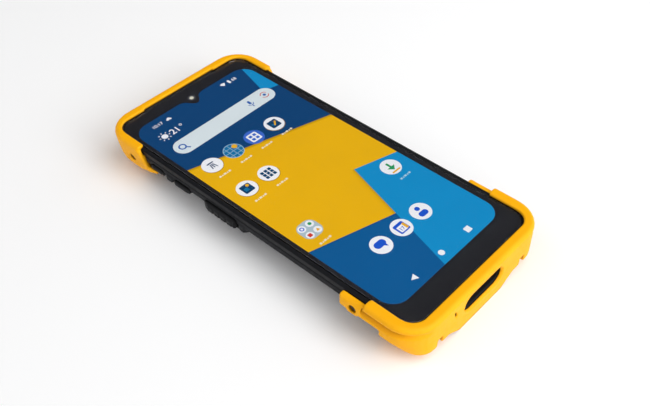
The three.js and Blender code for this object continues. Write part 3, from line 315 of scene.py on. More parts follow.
def mouldings():
    """For each moulded slot: its two colours, its roughness from and to, its grain's size and
    depth in millimetres, its worn colour and its shine."""
    worn_yellow = srgb(255, 200, 40)
    worn_black = srgb(48, 49, 54)
    yellow = (srgb(252, 179, 2), srgb(249, 174, 1))
    housing = (srgb(21, 22, 26), srgb(17, 18, 22))
    frame_black = (srgb(19, 20, 24), srgb(15, 16, 19))
    rubber = (srgb(15, 15, 17), srgb(12, 12, 14))
    key = (srgb(15, 16, 19), srgb(12, 13, 16))
    print_black = (srgb(24, 24, 28), srgb(21, 21, 25))
    ceramic = (srgb(216, 210, 196), srgb(204, 197, 182))
    amber = (srgb(176, 104, 28), srgb(150, 84, 20))
    cream = (srgb(228, 222, 200), srgb(214, 206, 180))
    lens_grey = (srgb(92, 93, 98), srgb(70, 71, 76))
    panel_black = (srgb(14, 15, 18), srgb(10, 11, 13))
    return {
        "yellow_bumper": (*yellow, (0.48, 0.62), 0.22, 0.018, worn_yellow, 0.2),
        "black_housing": (*housing, (0.5, 0.66), 0.3, 0.05, worn_black, 0.22),
        "black_frame": (*frame_black, (0.45, 0.58), 0.25, 0.02, worn_black, 0.2),
        "black_rubber": (*rubber, (0.7, 0.85), 0.3, 0.04, None, 0.25),
        "key_rubber": (*key, (0.55, 0.72), 0.2, 0.03, worn_black, 0.25),
        "printed_border": (*print_black, (0.35, 0.45), 0.2, 0.004, None, 0.3),
        "ceramic": (*ceramic, (0.5, 0.7), 0.3, 0.02, None, 0.5),
        "polyimide": (*amber, (0.25, 0.4), 0.4, 0.01, None, 0.5),
        "flash_plastic": (*cream, (0.12, 0.25), 0.5, 0.03, None, 0.5),
        "lens": (*lens_grey, (0.12, 0.25), 0.3, 0.004, None, 0.5),
        "display": (*panel_black, (0.2, 0.3), 0.2, 0.004, None, 0.5),
    }


def make_materials():
    """One material for each slot that is not part of the lit picture."""
    made = {}
    for name, (colour, other, rough, grain, depth, wear, shine) in mouldings().items():
        made[name] = moulded(name, colour, other, rough, grain * MM, depth * MM, wear, shine)
    made["steel"] = metal("steel", srgb(112, 114, 118), (0.3, 0.46))
    made["shield_metal"] = metal("shield_metal", srgb(188, 190, 194), (0.2, 0.36), (1, 8, 1))
    made["copper"] = metal("copper", srgb(196, 122, 74), (0.25, 0.45), (10, 1, 1))
    made["steel_mesh"] = steel_gauze("steel_mesh")
    made["circuit_board"] = circuit_board("circuit_board")
    made["battery_wrap"] = battery_film("battery_wrap")
    made["cover_glass"] = window_glass("cover_glass", (0.97, 0.98, 1.0, 1.0))
    return made


# ---------- pieces ----------
LARGE_FACE = 20 * MM * MM  # a flat face this big keeps its own flat shading


def merged_copy(node):
    """A mesh with a CAD node's shape, with its split corners joined."""
    mesh = nodes[node].data.copy()
    if "custom_normal" in mesh.attributes:
        mesh.attributes.remove(mesh.attributes["custom_normal"])
    shape = bmesh.new()
    shape.from_mesh(mesh)
    bmesh.ops.remove_doubles(shape, verts=shape.verts, dist=1e-6)
    shape.to_mesh(mesh)
    shape.free()
    return mesh


def add_piece(name, mesh, slot, body="body", node=None, material=None):
    """Links a piece, gives it its material (the slot's, unless one is given) and its body, and hides the CAD node
    it stands for.
    """
    piece = bpy.data.objects.new(name, mesh)
    bpy.context.scene.collection.objects.link(piece)
    mesh.materials.clear()
    mesh.materials.append(material or materials[slot])
    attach(piece, body)
    if node is not None:
        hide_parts(node)
    return piece


def baked(piece):
    """Applies a piece's modifiers to its mesh."""
    depsgraph = bpy.context.evaluated_depsgraph_get()
    mesh = bpy.data.meshes.new_from_object(piece.evaluated_get(depsgraph))
    piece.modifiers.clear()
    old = piece.data
    piece.data = mesh
    bpy.data.meshes.remove(old)


def softened(node, slot, voxel, smooths, body="body", keep=1.0):
    """A finer skin over a CAD node: dense, with its edges rounded off. Below 1, keep is the
    share of its triangles that stays."""
    piece = add_piece(node + "_skin", merged_copy(node), slot, body, node)
    remesh = piece.modifiers.new("remesh", "REMESH")
    remesh.mode = "VOXEL"
    remesh.voxel_size = voxel
    remesh.use_smooth_shade = True
    smooth = piece.modifiers.new("smooth", "SMOOTH")
    smooth.iterations = smooths
    smooth.factor = 0.5
    if keep < 1:
        thin = piece.modifiers.new("thin", "DECIMATE")
        thin.ratio = keep
    baked(piece)
    for polygon in piece.data.polygons:
        polygon.use_smooth = True


def bevelled(node, slot, width):
    """A CAD node of flat faces, with its flats whole again and its edges bevelled."""
    mesh = merged_copy(node)
    shape = bmesh.new()
    shape.from_mesh(mesh)
    bmesh.ops.dissolve_limit(shape, angle_limit=math.radians(0.5), verts=shape.verts, edges=shape.edges)
    shape.to_mesh(mesh)
    shape.free()
    piece = add_piece(node + "_finish", mesh, slot, node=node)
    bevel = piece.modifiers.new("bevel", "BEVEL")
    bevel.width = width
    bevel.segments = 3
    bevel.limit_method = "ANGLE"
    bevel.angle_limit = math.radians(35)
    baked(piece)
    smooth_by_angle(piece.data, 40)
    for polygon in piece.data.polygons:
        if polygon.area > LARGE_FACE:
            polygon.use_smooth = False


def smooth_by_angle(mesh, degrees):
    """Smooth shading, except across edges sharper than this."""
    shape = bmesh.new()
    shape.from_mesh(mesh)
    limit = math.radians(degrees)
    for face in shape.faces:
        face.smooth = True
    for edge in shape.edges:
        edge.smooth = len(edge.link_faces) == 2 and edge.calc_face_angle(0) < limit
    shape.to_mesh(mesh)
    shape.free()


# ---------- outlines of the picture, in design millimetres ----------
def placed(x, y):
    """From the picture's millimetres to metres on the object."""
    return Vector((LIT_ASIDE + x * UNIT, LIT_MIDDLE + y * UNIT))


def designed(x, y):
    """The other way round: from metres to the picture's millimetres."""
    return ((x - LIT_ASIDE) / UNIT, (y - LIT_MIDDLE) / UNIT)


def at(place, outlines):
    """Outlines drawn round the origin, moved to a place in the picture."""
    return [[(place[0] + x, place[1] + y) for x, y in outline] for outline in outlines]


def circle(x, y, radius, sides):
    turns = [2 * math.pi * i / sides for i in range(sides)]
    return [(x + radius * math.cos(turn), y + radius * math.sin(turn)) for turn in turns]


def rounded(x0, y0, x1, y1, radius, steps):
    """A rectangle with round corners, from its lower left to its upper right."""
    points = []
    left, right = x0 + radius, x1 - radius
    low, high = y0 + radius, y1 - radius
    for corner, (x, y) in enumerate(((right, low), (right, high), (left, high), (left, low))):
        for i in range(steps + 1):
            turn = math.pi / 2 * (corner - 1 + i / steps)
            points.append((x + radius * math.cos(turn), y + radius * math.sin(turn)))
    return points


def square(x, y, size, radius=0.2):
    return rounded(x - size / 2, y - size / 2, x + size / 2, y + size / 2, radius, 3)


def stroke(x0, y0, x1, y1, width):
    """A straight line with some width."""
    along = Vector((x1 - x0, y1 - y0)).normalized() * width / 2
    aside = Vector((-along.y, along.x))
    points = []
    for x, y, way in ((x0, y0, -1), (x1, y1, 1)):
        points.append((x - way * aside.x, y - way * aside.y))
        points.append((x + way * aside.x, y + way * aside.y))
    return points


def band(x, y, radius, width, start=0, end=360, steps=32):
    """Part of a ring, as quads."""
    turns = [math.radians(start + (end - start) * i / steps) for i in range(steps + 1)]
    inner, outer = (
        [(x + reach * math.cos(turn), y + reach * math.sin(turn)) for turn in turns]
        for reach in (radius - width / 2, radius + width / 2)
    )
    return [[inner[i], outer[i], outer[i + 1], inner[i + 1]] for i in range(steps)]


def curve(points, start, control, end, steps=6):
    """Adds a quadratic curve to a list of points."""
    for i in range(1, steps + 1):
        t = i / steps
        points.append(
            tuple((1 - t) ** 2 * a + 2 * t * (1 - t) * b + t**2 * c for a, b, c in zip(start, control, end))
        )


def printed(name, outlines, layer, material, slot="display"):
    """Flat shapes under the glass, this many layers above the panel. Each outline is one face."""
    shape = bmesh.new()
    height = panel_high.z + layer * LAYER
    for outline in outlines:
        corners = [shape.verts.new((*placed(x, y), height)) for x, y in outline]
        face = shape.faces.new(corners)
        face.normal_update()
        if face.normal.z < 0:
            face.normal_flip()
    mesh = bpy.data.meshes.new(name)
    shape.to_mesh(mesh)
    shape.free()
    add_piece(name, mesh, slot, material=material)


def digits(name, text, place, size, layer, material):
    """Numbers in the picture, as flat faces that start at a place."""
    letters = bpy.data.curves.new(name, "FONT")
    letters.body = text
    letters.size = size * UNIT
    letters.fill_mode = "FRONT"
    letters.offset = size * UNIT * 0.012
    carrier = bpy.data.objects.new(name, letters)
    bpy.context.scene.collection.objects.link(carrier)
    carrier.location = (*placed(*place), panel_high.z + layer * LAYER)
    bpy.context.view_layer.update()
    depsgraph = bpy.context.evaluated_depsgraph_get()
    mesh = bpy.data.meshes.new_from_object(carrier.evaluated_get(depsgraph))
    mesh.transform(carrier.matrix_world)
    bpy.data.objects.remove(carrier)
    add_piece(name, mesh, "display", material=material)


CORNER_RADIUS = 7.5  # of the lit area
CORNER_STEPS = 12
NOTCH_HALF = 6.5
NOTCH_SHOULDER = 1.7  # how far the notch has come down where its sides start


def lit_outline():
    """The lit area: round corners, and a round-shouldered notch for the front camera."""
    end = DESIGN_END
    points = rounded(-DESIGN_HALF, -end, DESIGN_HALF, end, CORNER_RADIUS, CORNER_STEPS)
    right_side = 2 * (CORNER_STEPS + 1)
    right_shoulder = (NOTCH_HALF - 3, end - NOTCH_SHOULDER)
    left_shoulder = (-NOTCH_HALF + 3, end - NOTCH_SHOULDER)
    notch = [(NOTCH_HALF + 1, end)]
    curve(notch, notch[-1], (NOTCH_HALF - 1.5, end), right_shoulder)
    curve(notch, notch[-1], (0, end - 8.5), left_shoulder, 12)
    curve(notch, notch[-1], (-NOTCH_HALF + 1.5, end), (-NOTCH_HALF - 1, end))
    return points[:right_side] + notch + points[right_side:]


# How many layers above the panel each kind of print lies.
DISC = 2.5
MARK = 3
DETAIL = 3.5
BORDER = 8


def make_border():
    """The dark print round the lit area."""
    inset = 0.2 * MM
    corner = 6.3
    x0, y0 = designed(glass_low.x + inset, glass_low.y + inset)
    x1, y1 = designed(glass_high.x - inset, glass_high.y - inset)
    loops = [rounded(x0, y0, x1, y1, corner, 10), lit_outline()]
    points = [point for loop in loops for point in loop]
    triangles = tessellate_polygon([[Vector((x, y, 0)) for x, y in loop] for loop in loops])
    outlines = [[points[i] for i in triangle] for triangle in triangles]
    printed("printed_border", outlines, BORDER, materials["printed_border"])


# ---------- the picture ----------
GOLD_TOP = ((-34.3, 37.2), (34.3, 17.4))
GOLD_BOTTOM = ((-34.3, -30.8), (4.8, -42.3))
SAIL = ((13, -13.6), (-4.3, -73))  # long edge of the light blue shape
SAIL_TOP_END = (34.3, -19.9)
EDGE_SHADOW = 1.6  # width of the shadows inside the gold
PAST_BORDER = 0.3  # how far the ground of the picture runs under the border


def across(edge):
    """The direction at right angles to an edge, to the right of someone walking along it."""
    (x0, y0), (x1, y1) = edge
    direction = Vector((x1 - x0, y1 - y0)).normalized()
    return (direction.y, -direction.x)


def make_picture():
    """The ground of the picture: dark blue, mid blue, gold with a shadow, and light blue."""
    gold = srgb(234, 177, 8)
    edge = DESIGN_HALF + PAST_BORDER
    end = DESIGN_END + PAST_BORDER
    whole = [(-edge, -end), (edge, -end), (edge, end), (-edge, end)]
    printed("picture_blue", [whole], 0.5, lit_colour("picture_blue", srgb(8, 64, 113)))
    corner = [GOLD_BOTTOM[0], GOLD_BOTTOM[1], SAIL[1], (SAIL[1][0], -end), (-edge, -end)]
    bottom_shade = (GOLD_BOTTOM[0], across(GOLD_BOTTOM), 1.0, 0.3)
    middle_blue = lit_colour("picture_middle_blue", srgb(8, 88, 145), [bottom_shade])
    printed("picture_middle_blue", [corner], 1, middle_blue)
    gold_shape = [GOLD_TOP[0], GOLD_BOTTOM[0], GOLD_BOTTOM[1], SAIL[0], SAIL_TOP_END, GOLD_TOP[1]]
    top_shade = (GOLD_TOP[0], across(GOLD_TOP), EDGE_SHADOW, 0.5)
    printed("picture_gold", [gold_shape], 1.5, lit_colour("picture_gold", gold, [top_shade]))
    left = across(SAIL)
    strip = [SAIL[0], GOLD_BOTTOM[1]]
    strip += [(x + EDGE_SHADOW * left[0], y + EDGE_SHADOW * left[1]) for x, y in strip[::-1]]
    sail_shade = (SAIL[0], left, EDGE_SHADOW, 0.4)
    printed("sail_shadow", [strip], 1.8, lit_colour("sail_shadow", gold, [sail_shade]))
    sail = [SAIL[0], SAIL[1], (edge, -end), SAIL_TOP_END]
    sliver = [(31.2, 72.6), (26, 53.5), (29.4, 50.8), (edge, 49.7), (edge, end)]
    printed("picture_sky", [sail, sliver], 2, lit_colour("picture_sky", srgb(15, 140, 198)))


def make_inks():
    """The plain lit colours of everything drawn on the ground of the picture."""
    colours = {
        "picture_white": (240, 240, 243),
        "search_bar": (216, 226, 229),
        "mark_blue": (52, 98, 172),
        "mark_red": (202, 84, 78),
        "disc_shade": (150, 115, 20),
        "mark_navy": (10, 62, 100),
        "mark_ocean": (20, 110, 160),
        "mark_azure": (58, 104, 200),
        "mark_royal": (26, 84, 200),
        "mark_green": (40, 150, 90),
        "mark_orange": (232, 172, 40),
        "mark_crimson": (206, 60, 50),
        "folder_grey": (172, 190, 200),
        "map_line": (150, 190, 210),
        "caption": (238, 226, 196),
        "caption_blue": (170, 208, 224),
    }
    return {name: lit_colour(name, srgb(*colour)) for name, colour in colours.items()}


# ---------- search bar ----------
SEARCH_LENS = (-24.8, 49.6)
MICROPHONE = (15.25, 49.8)
BAR_CAMERA = (24, 49.4)


def make_search_bar():
    """A pale bar with a magnifier, a microphone and a camera mark."""
    printed("search_bar", [rounded(-28.8, 44.7, 29, 54.1, 4.7, 12)], DISC, inks["search_bar"])
    magnifier = band(0, 0, 1.5, 0.7) + [stroke(1.2, -1.3, 2.4, -2.6, 0.7)]
    printed("search_mark", at(SEARCH_LENS, magnifier), MARK, inks["mark_blue"])
    capsule = rounded(-0.65, -0.9, 0.65, 1.8, 0.6, 4)
    stem = stroke(0, -1.8, 0, -3, 0.5)
    cradle = band(0, 0, 1.6, 0.4, 200, 340, 10)
    printed("microphone_mark", at(MICROPHONE, [capsule, stem] + cradle), MARK, inks["mark_blue"])
    brackets = band(0, 0, 1.9, 0.45, 20, 160, 10) + band(0, 0, 1.9, 0.45, 200, 340, 10)
    printed("camera_mark_frame", at(BAR_CAMERA, brackets), MARK, inks["mark_red"])
    printed("camera_mark", at(BAR_CAMERA, [circle(0, 0, 0.8, 20)]), MARK, inks["mark_blue"])


# ---------- status line and weather ----------
STATUS_ROW = 67.5
STATUS_SIZE = 2.6
CLOUD = (-16.4, 68.5)
SIGNAL = (16.6, 67.4)
BATTERY = (20.05, 67.3)
SUN = (-25.4, 60.3)
SUN_RAYS = 8


def sun_rays():
    near, far = 2.1, 2.9
    rays = []
    for i in range(SUN_RAYS):
        turn = 2 * math.pi * i / SUN_RAYS
        x, y = math.cos(turn), math.sin(turn)
        rays.append(stroke(near * x, near * y, far * x, far * y, 0.45))
    return rays


def make_status_line():
    """A clock, a small cloud, signal and battery marks, and a sun with the number of degrees."""
    white = inks["picture_white"]
    digits("clock_digits", "10:17", (-25.6, STATUS_ROW), STATUS_SIZE, DISC, white)
    cloud_left = at(CLOUD, [circle(-0.8, -0.4, 0.6, 16)])
    fan = [(-1.5, 1.8), (0, 0), (1.5, 1.8), (0.8, 2.2), (0, 2.35), (-0.8, 2.2)]
    cell = [rounded(-0.65, 0, 0.65, 2.2, 0.2, 3), stroke(-0.25, 2.3, 0.25, 2.3, 0.35)]
    printed("status_marks", cloud_left + at(SIGNAL, [fan]) + at(BATTERY, cell), DISC, white)
    printed("cloud_top", at(CLOUD, [circle(0, 0, 0.8, 16)]), DISC + 0.1, white)
    printed("cloud_end", at(CLOUD, [circle(0.7, -0.5, 0.55, 16)]), DISC + 0.2, white)
    digits("battery_digits", "68", (21.6, STATUS_ROW), STATUS_SIZE, DISC, white)
    digits("degrees", "21", (-22.2, 58.6), 5, DISC, white)
    degree_ring = band(-15.6, 61.6, 0.55, 0.3, steps=16)
    printed("sun_mark", at(SUN, [circle(0, 0, 1.5, 28)] + sun_rays()) + degree_ring, DISC, white)


# ---------- app pictures ----------
ICON = 4.6  # radius of an app picture
TOP_ROW = 31.7
SECOND_ROW = 11
DOCK_ROW = -48.8
SURVEY = (-24.3, TOP_ROW)
MAP = (-12.1, TOP_ROW)
KEYPAD = (0, TOP_ROW)
NOTES = (12.2, TOP_ROW)
CARD = (-24.4, SECOND_ROW)
PANES = (-12.2, SECOND_ROW)
DOWNLOAD = (24.3, -23.8)
FOLDER = (-24.35, -23.25)
TALK = (-12.3, DOCK_ROW)
CALENDAR = (0, DOCK_ROW)
PERSON = (12, DOCK_ROW)


def make_app_discs():
    """Round white discs, the first four with a thin shade under them."""
    discs = (SURVEY, NOTES, CARD, PANES, DOWNLOAD, TALK, CALENDAR, PERSON)
    printed("app_discs", [circle(x, y, ICON, 56) for x, y in discs], DISC, inks["picture_white"])
    rims = [quad for x, y in discs[:4] for quad in band(x, y - 0.15, ICON + 0.1, 0.25, 180, 360)]
    printed("app_disc_shades", rims, 2.2, inks["disc_shade"])


def make_round_pictures():
    """A round map with a grid, and the round ground of the keypad."""
    printed("round_map", [circle(*MAP, ICON, 56)], DISC, inks["mark_ocean"])
    printed("round_tile", [circle(*KEYPAD, ICON, 56)], DISC, inks["mark_azure"])
    lines = band(0, 0, ICON - 0.15, 0.35)
    for offset in (-2.2, 0, 2.2):
        reach = math.sqrt(4.3**2 - offset**2)
        lines.append(stroke(offset, -reach, offset, reach, 0.25))
        lines.append(stroke(-reach, offset, reach, offset, 0.25))
    printed("map_lines", at(MAP, lines), MARK, inks["map_line"])
    printed("map_land", at(MAP, [circle(2.2, 1.9, 1.3, 20)]), DETAIL, inks["mark_orange"])


def make_dark_marks():
    """A tripod, nine panes and two dark cards with small marks on them."""
    plate = stroke(-1.7, 1.5, 1.7, 1.5, 0.7)
    legs = [stroke(way * 0.6, 0.7, way * 1.3, -2.1, 0.5) for way in (-1, 1)]
    tripod = at(SURVEY, [plate, *legs, stroke(0, 0.7, 0, -1.8, 0.5)])
    panes = at(PANES, [square(x, y, 1.5) for x in (-2, 0, 2) for y in (-1.7, 0, 1.7)])
    cards = [square(*NOTES, 5, 0.6), square(*CARD, 5, 0.6)]
    printed("navy_marks", tripod + panes + cards, MARK, inks["mark_navy"])
    nib = at(NOTES, [stroke(-1.3, 0.1, -0.2, -1.1, 0.8)])
    panel = at(CARD, [square(-0.6, -0.4, 1.9, 0.3)])
    printed("card_marks", nib + panel, DETAIL, inks["mark_ocean"])
    pencil = at(NOTES, [stroke(-0.4, -1.1, 1.6, 1.3, 0.8)])
    spot = at(CARD, [circle(1.2, 1.3, 0.8, 20)])
    printed("card_lights", pencil + spot, DETAIL + 0.1, inks["mark_orange"])


def make_keypad_mark():
    keypad = [square(x, y, 1.5) for x in (-1.1, 1.1) for y in (-1.1, 1.1)]
    printed("tile_plate", [square(*KEYPAD, 5.4, 0.7)], MARK, inks["picture_white"])
    printed("tile_keys", at(KEYPAD, keypad), DETAIL, inks["mark_azure"])


def make_folder():
    """A grey folder with four small discs, each with its own mark."""
    half = 4.65
    plate = rounded(-half, -half, half, half, 3.4, 8)
    printed("folder_plate", at(FOLDER, [plate]), DISC, inks["folder_grey"])
    left, right = FOLDER[0] - 2.15, FOLDER[0] + 2.15
    upper, lower = FOLDER[1] + 2.15, FOLDER[1] - 2.25
    minis = [(left, upper), (right, upper), (left, lower), (right, lower)]
    printed("folder_discs", [circle(x, y, 1.75, 28) for x, y in minis], MARK, inks["picture_white"])
    printed("folder_red", [square(left, lower, 1.8, 0.3)], DETAIL, inks["mark_crimson"])
    printed("folder_green", [square(right, upper, 1.6, 0.7)], DETAIL, inks["mark_green"])
    printed("folder_blue", band(left, upper, 0.8, 0.45, steps=20), DETAIL, inks["mark_royal"])
    triangle = [(-0.9, -0.6), (0.9, -0.6), (0, 1)]
    printed("folder_orange", at((right, lower), [triangle]), DETAIL, inks["mark_orange"])


def make_download_mark():
    """A downward arrow over a tray."""
    arrow = [stroke(0, 2.6, 0, -0.4, 1.1), [(-2.2, 0), (2.2, 0), (0, -2.2)]]
    printed("arrow_mark", at(DOWNLOAD, arrow), MARK, inks["mark_green"])
    tray = [stroke(-2.3, -3.1, 2.3, -3.1, 0.8)]
    printed("arrow_tray", at(DOWNLOAD, tray), MARK, inks["mark_orange"])


def make_dock_marks():
    """A speech bubble, a person and a calendar page in the bottom row."""
    bubble = [rounded(-2.8, -1, 2.8, 2.3, 1.6, 6), [(0.4, -0.8), (1.9, -0.8), (1.7, -2.4)]]
    person = [circle(0, 1.8, 1.15, 24), rounded(-2.3, -2.8, 2.3, -0.1, 1.3, 6)]
    page = [rounded(-2.7, -2.6, 2.7, 2.6, 0.7, 4)]
    marks = at(TALK, bubble) + at(PERSON, person) + at(CALENDAR, page)
    printed("royal_marks", marks, MARK, inks["mark_royal"])
    sheet = [rounded(-1.9, -2, 1.9, 1.2, 0.3, 3)]
    printed("calendar_page", at(CALENDAR, sheet), DETAIL, inks["picture_white"])
    margin = [rounded(1.3, -1.8, 2.5, 1.4, 0.3, 3)]
    printed("calendar_corner", at(CALENDAR, margin), DETAIL + 0.5, inks["mark_orange"])
    number = (CALENDAR[0] - 1.5, CALENDAR[1] - 1.4)
    digits("calendar_digits", "17", number, 2.4, DETAIL + 0.7, inks["mark_royal"])


# ---------- captions and navigation ----------
CAPTION_DROP = 7.8  # from an app picture's middle down to its caption
DASH_WIDTHS = (1.0, 0.6, 1.2, 0.7, 1.0)
DASH_GAP = 0.4
DASH_HEIGHTS = (0.95, 0.7)  # tall and short dashes in turn


def caption(x, y):
    """A row of dashes round a middle point."""
    left = x - (sum(DASH_WIDTHS) + DASH_GAP * (len(DASH_WIDTHS) - 1)) / 2
    low = y - 0.45
    dashes = []
    for i, width in enumerate(DASH_WIDTHS):
        high = low + DASH_HEIGHTS[i % 2]
        dashes.append([(left, low), (left + width, low), (left + width, high), (left, high)])
        left += width + DASH_GAP
    return dashes


def make_captions():
    """Short dashes under the app pictures where captions go."""
    places = [(x, y - CAPTION_DROP) for x, y in (SURVEY, MAP, KEYPAD, NOTES)]
    places += [(-24.4, 3.1), (-12.2, 3.1), (-24.4, -31.5)]
    dashes = [dash for x, y in places for dash in caption(x, y)]
    printed("captions", dashes, DISC, inks["caption"])
    on_blue = caption(DOWNLOAD[0], DOWNLOAD[1] - CAPTION_DROP)
    printed("caption_on_blue", on_blue, DISC, inks["caption_blue"])


def make_navigation():
    """A triangle, a circle and a square along the bottom of the picture."""
    back = [(-18.5, -68), (-15.7, -66.5), (-15.7, -69.5)]
    marks = [back, circle(-0.2, -68, 1.35, 28), square(16.4, -68.2, 2.8, 0.2)]
    printed("navigation_marks", marks, DISC, inks["picture_white"])


# ---------- small built pieces ----------
def make_front_camera():
    """The front camera seen through the glass: a grey disc with a paler pupil on it."""
    centre = (camera_low + camera_high) / 2
    x, y = designed(centre.x, centre.y)
    radius = (camera_high.x - camera_low.x) / 2 / UNIT
    printed("front_camera_ring", [circle(x, y, radius * 0.95, 40)], BORDER + 1, materials["lens"], "lens")
    pupil = [circle(x, y, radius * 0.5, 40)]
    printed("front_camera_pupil", pupil, BORDER + 2, materials["flash_plastic"], "flash_plastic")


RING_WIDTH = 0.6 * MM
RING_HEIGHT = 0.12 * MM
RING_CHAMFER = 0.1 * MM


def make_rear_rings():
    """Metal rings in the back, round the rear camera window and the flash."""
    for name, node in (("rear_camera_ring", "camera_window"), ("flash_ring", "flash_lens")):
        low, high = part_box(node)
        centre = Vector(((low.x + high.x) / 2, (low.y + high.y) / 2, low.z))
        radius = (high.x - low.x) / 2
        inner = radius - RING_WIDTH
        top = radius - RING_CHAMFER
        profile = [(inner, 0), (inner, -RING_HEIGHT), (top, -RING_HEIGHT), (radius, 0)]
        ring_piece(name, profile, centre)


def ring_piece(name, profile, centre):
    """A closed ring: a profile of (radius, height) pairs spun about +Z and joined to itself."""
    sides = 48
    shape = bmesh.new()
    rings = []
    for i in range(sides):
        angle = 2 * math.pi * i / sides
        around = Vector((math.cos(angle), math.sin(angle), 0))
        rings.append([shape.verts.new(centre + around * r + Vector((0, 0, z))) for r, z in profile])
    count = len(profile)
    for i in range(sides):
        this, following = rings[i], rings[(i + 1) % sides]
        for k in range(count):
            m = (k + 1) % count
            shape.faces.new((this[k], this[m], following[m], following[k]))
    bmesh.ops.recalc_face_normals(shape, faces=shape.faces)
    mesh = bpy.data.meshes.new(name)
    shape.to_mesh(mesh)
    shape.free()
    smooth_by_angle(mesh, 35)
    add_piece(name, mesh, "steel")


CHIP = Vector((1.6, 1.0, 0.6)) * MM
CHIP_STEP = 3.1 * MM  # from one chip to the next
CHIP_MARGIN = 4 * MM  # clear board before the first chip and after the last
CHIP_ROWS = (2.6 * MM, 3.4 * MM)  # from the board's lower edge, in turn


def make_chips():
    """Small parts along the lower edge of each board, in a zigzag row."""
    for board in ("main_board", "connector_board"):
        low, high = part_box(board)
        shape = bmesh.new()
        x = low.x + CHIP_MARGIN
        count = 0
        while x < high.x - CHIP_MARGIN:
            centre = Vector((x, low.y + CHIP_ROWS[count % 2], high.z + CHIP.z / 2))
            cube = bmesh.ops.create_cube(shape, size=1)
            for corner in cube["verts"]:
                corner.co = centre + Vector(a * b for a, b in zip(corner.co, CHIP))
            x += CHIP_STEP
            count += 1
        mesh = bpy.data.meshes.new(board + "_parts")
        shape.to_mesh(mesh)
        shape.free()
        piece = add_piece(board + "_parts", mesh, "black_rubber")
        bevel = piece.modifiers.new("bevel", "BEVEL")
        bevel.width = 0.12 * MM
        bevel.segments = 2
        baked(piece)


# ---------- carried-over nodes ----------
def dress_nodes():
    """Gives every CAD node the material of its slot."""
    slots = {part["node"]: part["material_slot"] for part in frame["record"]["subparts"]}
    for name, item in nodes.items():
        item.data.materials.clear()
        item.data.materials.append(materials[slots[name]])


def make_skins():
    """Finer pieces in place of some CAD nodes, rounded or bevelled."""
    softened("bottom_bumper", "yellow_bumper", 0.34 * MM, 4)
    softened("top_bumper", "yellow_bumper", 0.34 * MM, 4)
    softened("rear_housing", "black_housing", 0.42 * MM, 3, keep=0.5)
    bevelled("middle_frame", "black_frame", 0.3 * MM)
    softened("card_tray", "black_frame", 0.2 * MM, 2, "card_tray", 0.5)
    for joint in frame["joints"]:
        if joint["child"].endswith("_key"):
            softened(joint["child"], "key_rubber", 0.16 * MM, 4, joint["child"])
    for place in ("top_left", "top_right", "bottom_left", "bottom_right"):
        softened("bumper_screw_" + place, "steel", 0.1 * MM, 2)
    for side in ("left", "right"):
        for place in ("top", "middle", "bottom"):
            softened(f"housing_screw_{side}_{place}", "steel", 0.14 * MM, 2)
    bevelled("cover_glass", "cover_glass", 0.25 * MM)
    bevelled("battery_pack", "battery_wrap", 0.6 * MM)
    bevelled("loudspeaker", "black_rubber", 0.4 * MM)
    bevelled("vibration_motor", "steel", 0.3 * MM)
    bevelled("gnss_antenna", "ceramic", 0.25 * MM)
    bevelled("earpiece_receiver", "black_rubber", 0.3 * MM)


# ---------- stage ----------
FLOOR_REACH = 3.0  # from the middle of the floor to its edge
FLOOR_GAP = 0.05 * MM  # keeps the floor from touching the feet
WORLD_LIGHT = 1.14
CARD_DIRECTION = Vector((0.55, 0.5, 0.67)).normalized()  # from the object to the dark card
KEY_LAMP = ((0.1, -0.8, 0.5), 0.5, 3.2)  # place, size, power
TOP_LAMP = ((0.25, -0.3, 0.85), 0.7, 2.2)
CAMERA_PLACE = Vector((-193.9, -181.8, 259.0)) * MM
CAMERA_AIM = Vector((-9.91, -16.0, 17.0)) * MM
CAMERA_LENS = 48.47  # millimetres, on a sensor 36 wide


def facing(place, aim):
    """The rotation that turns a lamp or a camera at a place towards an aim."""
    return (aim - place).to_track_quat("-Z", "Y").to_euler()


def make_floor():
    shape = bmesh.new()
    bmesh.ops.create_grid(shape, x_segments=1, y_segments=1, size=FLOOR_REACH)
    mesh = bpy.data.meshes.new("floor")
    shape.to_mesh(mesh)
    shape.free()
    floor = bpy.data.objects.new("floor", mesh)
    bpy.context.scene.collection.objects.link(floor)
    floor.location.z = cad_box[0][2] - FLOOR_GAP
    material, tree, shader = start_material("pale_floor")
    patches = spread(tree, noise(tree, 0.4, 2), 0.3, 0.7)
    tone = blend_colours(tree, patches, (1.0, 1.0, 1.0, 1.0), (0.98, 0.98, 0.98, 1.0))
    tree.links.new(tone, shader.inputs["Base Color"])
    shader.inputs["Roughness"].default_value = 0.9
    mesh.materials.append(material)


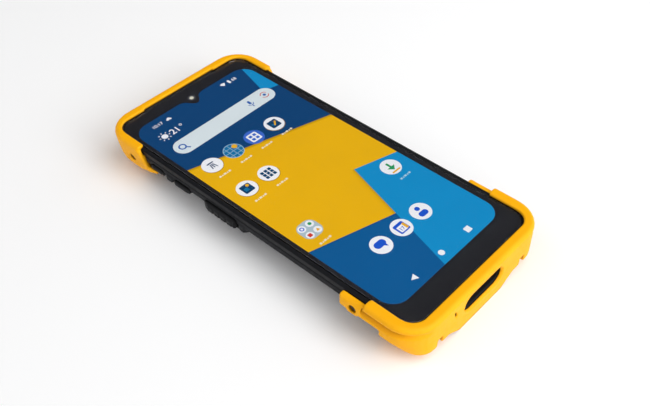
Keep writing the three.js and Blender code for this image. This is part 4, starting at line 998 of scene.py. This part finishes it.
def add_lamp(name, place, size, power):
    """A square soft lamp that faces the object."""
    lamp = bpy.data.lights.new(name, "AREA")
    lamp.size = size
    lamp.energy = power
    holder = bpy.data.objects.new(name, lamp)
    bpy.context.scene.collection.objects.link(holder)
    holder.location = place
    holder.rotation_euler = facing(Vector(place), Vector())


def make_light():
    """A bright studio, greyer on the left, with a dark card beyond the far right end that the
    glass mirrors. Two soft lamps."""
    world = bpy.data.worlds.new("studio")
    bpy.context.scene.world = world
    world.use_nodes = True
    tree = world.node_tree
    coordinates = tree.nodes.new("ShaderNodeTexCoord")
    towards_card = tree.nodes.new("ShaderNodeVectorMath")
    towards_card.operation = "DOT_PRODUCT"
    towards_card.inputs[1].default_value = CARD_DIRECTION
    tree.links.new(coordinates.outputs["Generated"], towards_card.inputs[0])
    card = spread(tree, towards_card.outputs["Value"], 0.62, 0.82)
    separate = tree.nodes.new("ShaderNodeSeparateXYZ")
    tree.links.new(coordinates.outputs["Generated"], separate.inputs["Vector"])
    rightwards = spread(tree, separate.outputs["X"], -0.9, 0.1)
    sides = blend_colours(tree, rightwards, (0.55, 0.55, 0.56, 1.0), (1.0, 1.0, 1.0, 1.0))
    colour = blend_colours(tree, card, sides, (0.03, 0.03, 0.033, 1.0))
    background = tree.nodes["Background"]
    tree.links.new(colour, background.inputs["Color"])
    background.inputs["Strength"].default_value = WORLD_LIGHT
    add_lamp("key", *KEY_LAMP)
    add_lamp("top", *TOP_LAMP)


def make_camera():
    camera = bpy.data.cameras.new("photo_view")
    camera.sensor_width = 36
    camera.lens = CAMERA_LENS
    camera.clip_start = 0.01
    holder = bpy.data.objects.new("photo_view", camera)
    bpy.context.scene.collection.objects.link(holder)
    holder.location = CAMERA_PLACE
    holder.rotation_euler = facing(CAMERA_PLACE, CAMERA_AIM)
    bpy.context.scene.camera = holder


bpy.context.scene.view_settings.view_transform = "Standard"
materials = make_materials()
inks = make_inks()
dress_nodes()
make_skins()
make_border()
make_picture()
make_search_bar()
make_status_line()
make_app_discs()
make_round_pictures()
make_dark_marks()
make_keypad_mark()
make_folder()
make_download_mark()
make_dock_marks()
make_captions()
make_navigation()
make_front_camera()
make_rear_rings()
make_chips()
make_floor()
make_light()
make_camera()
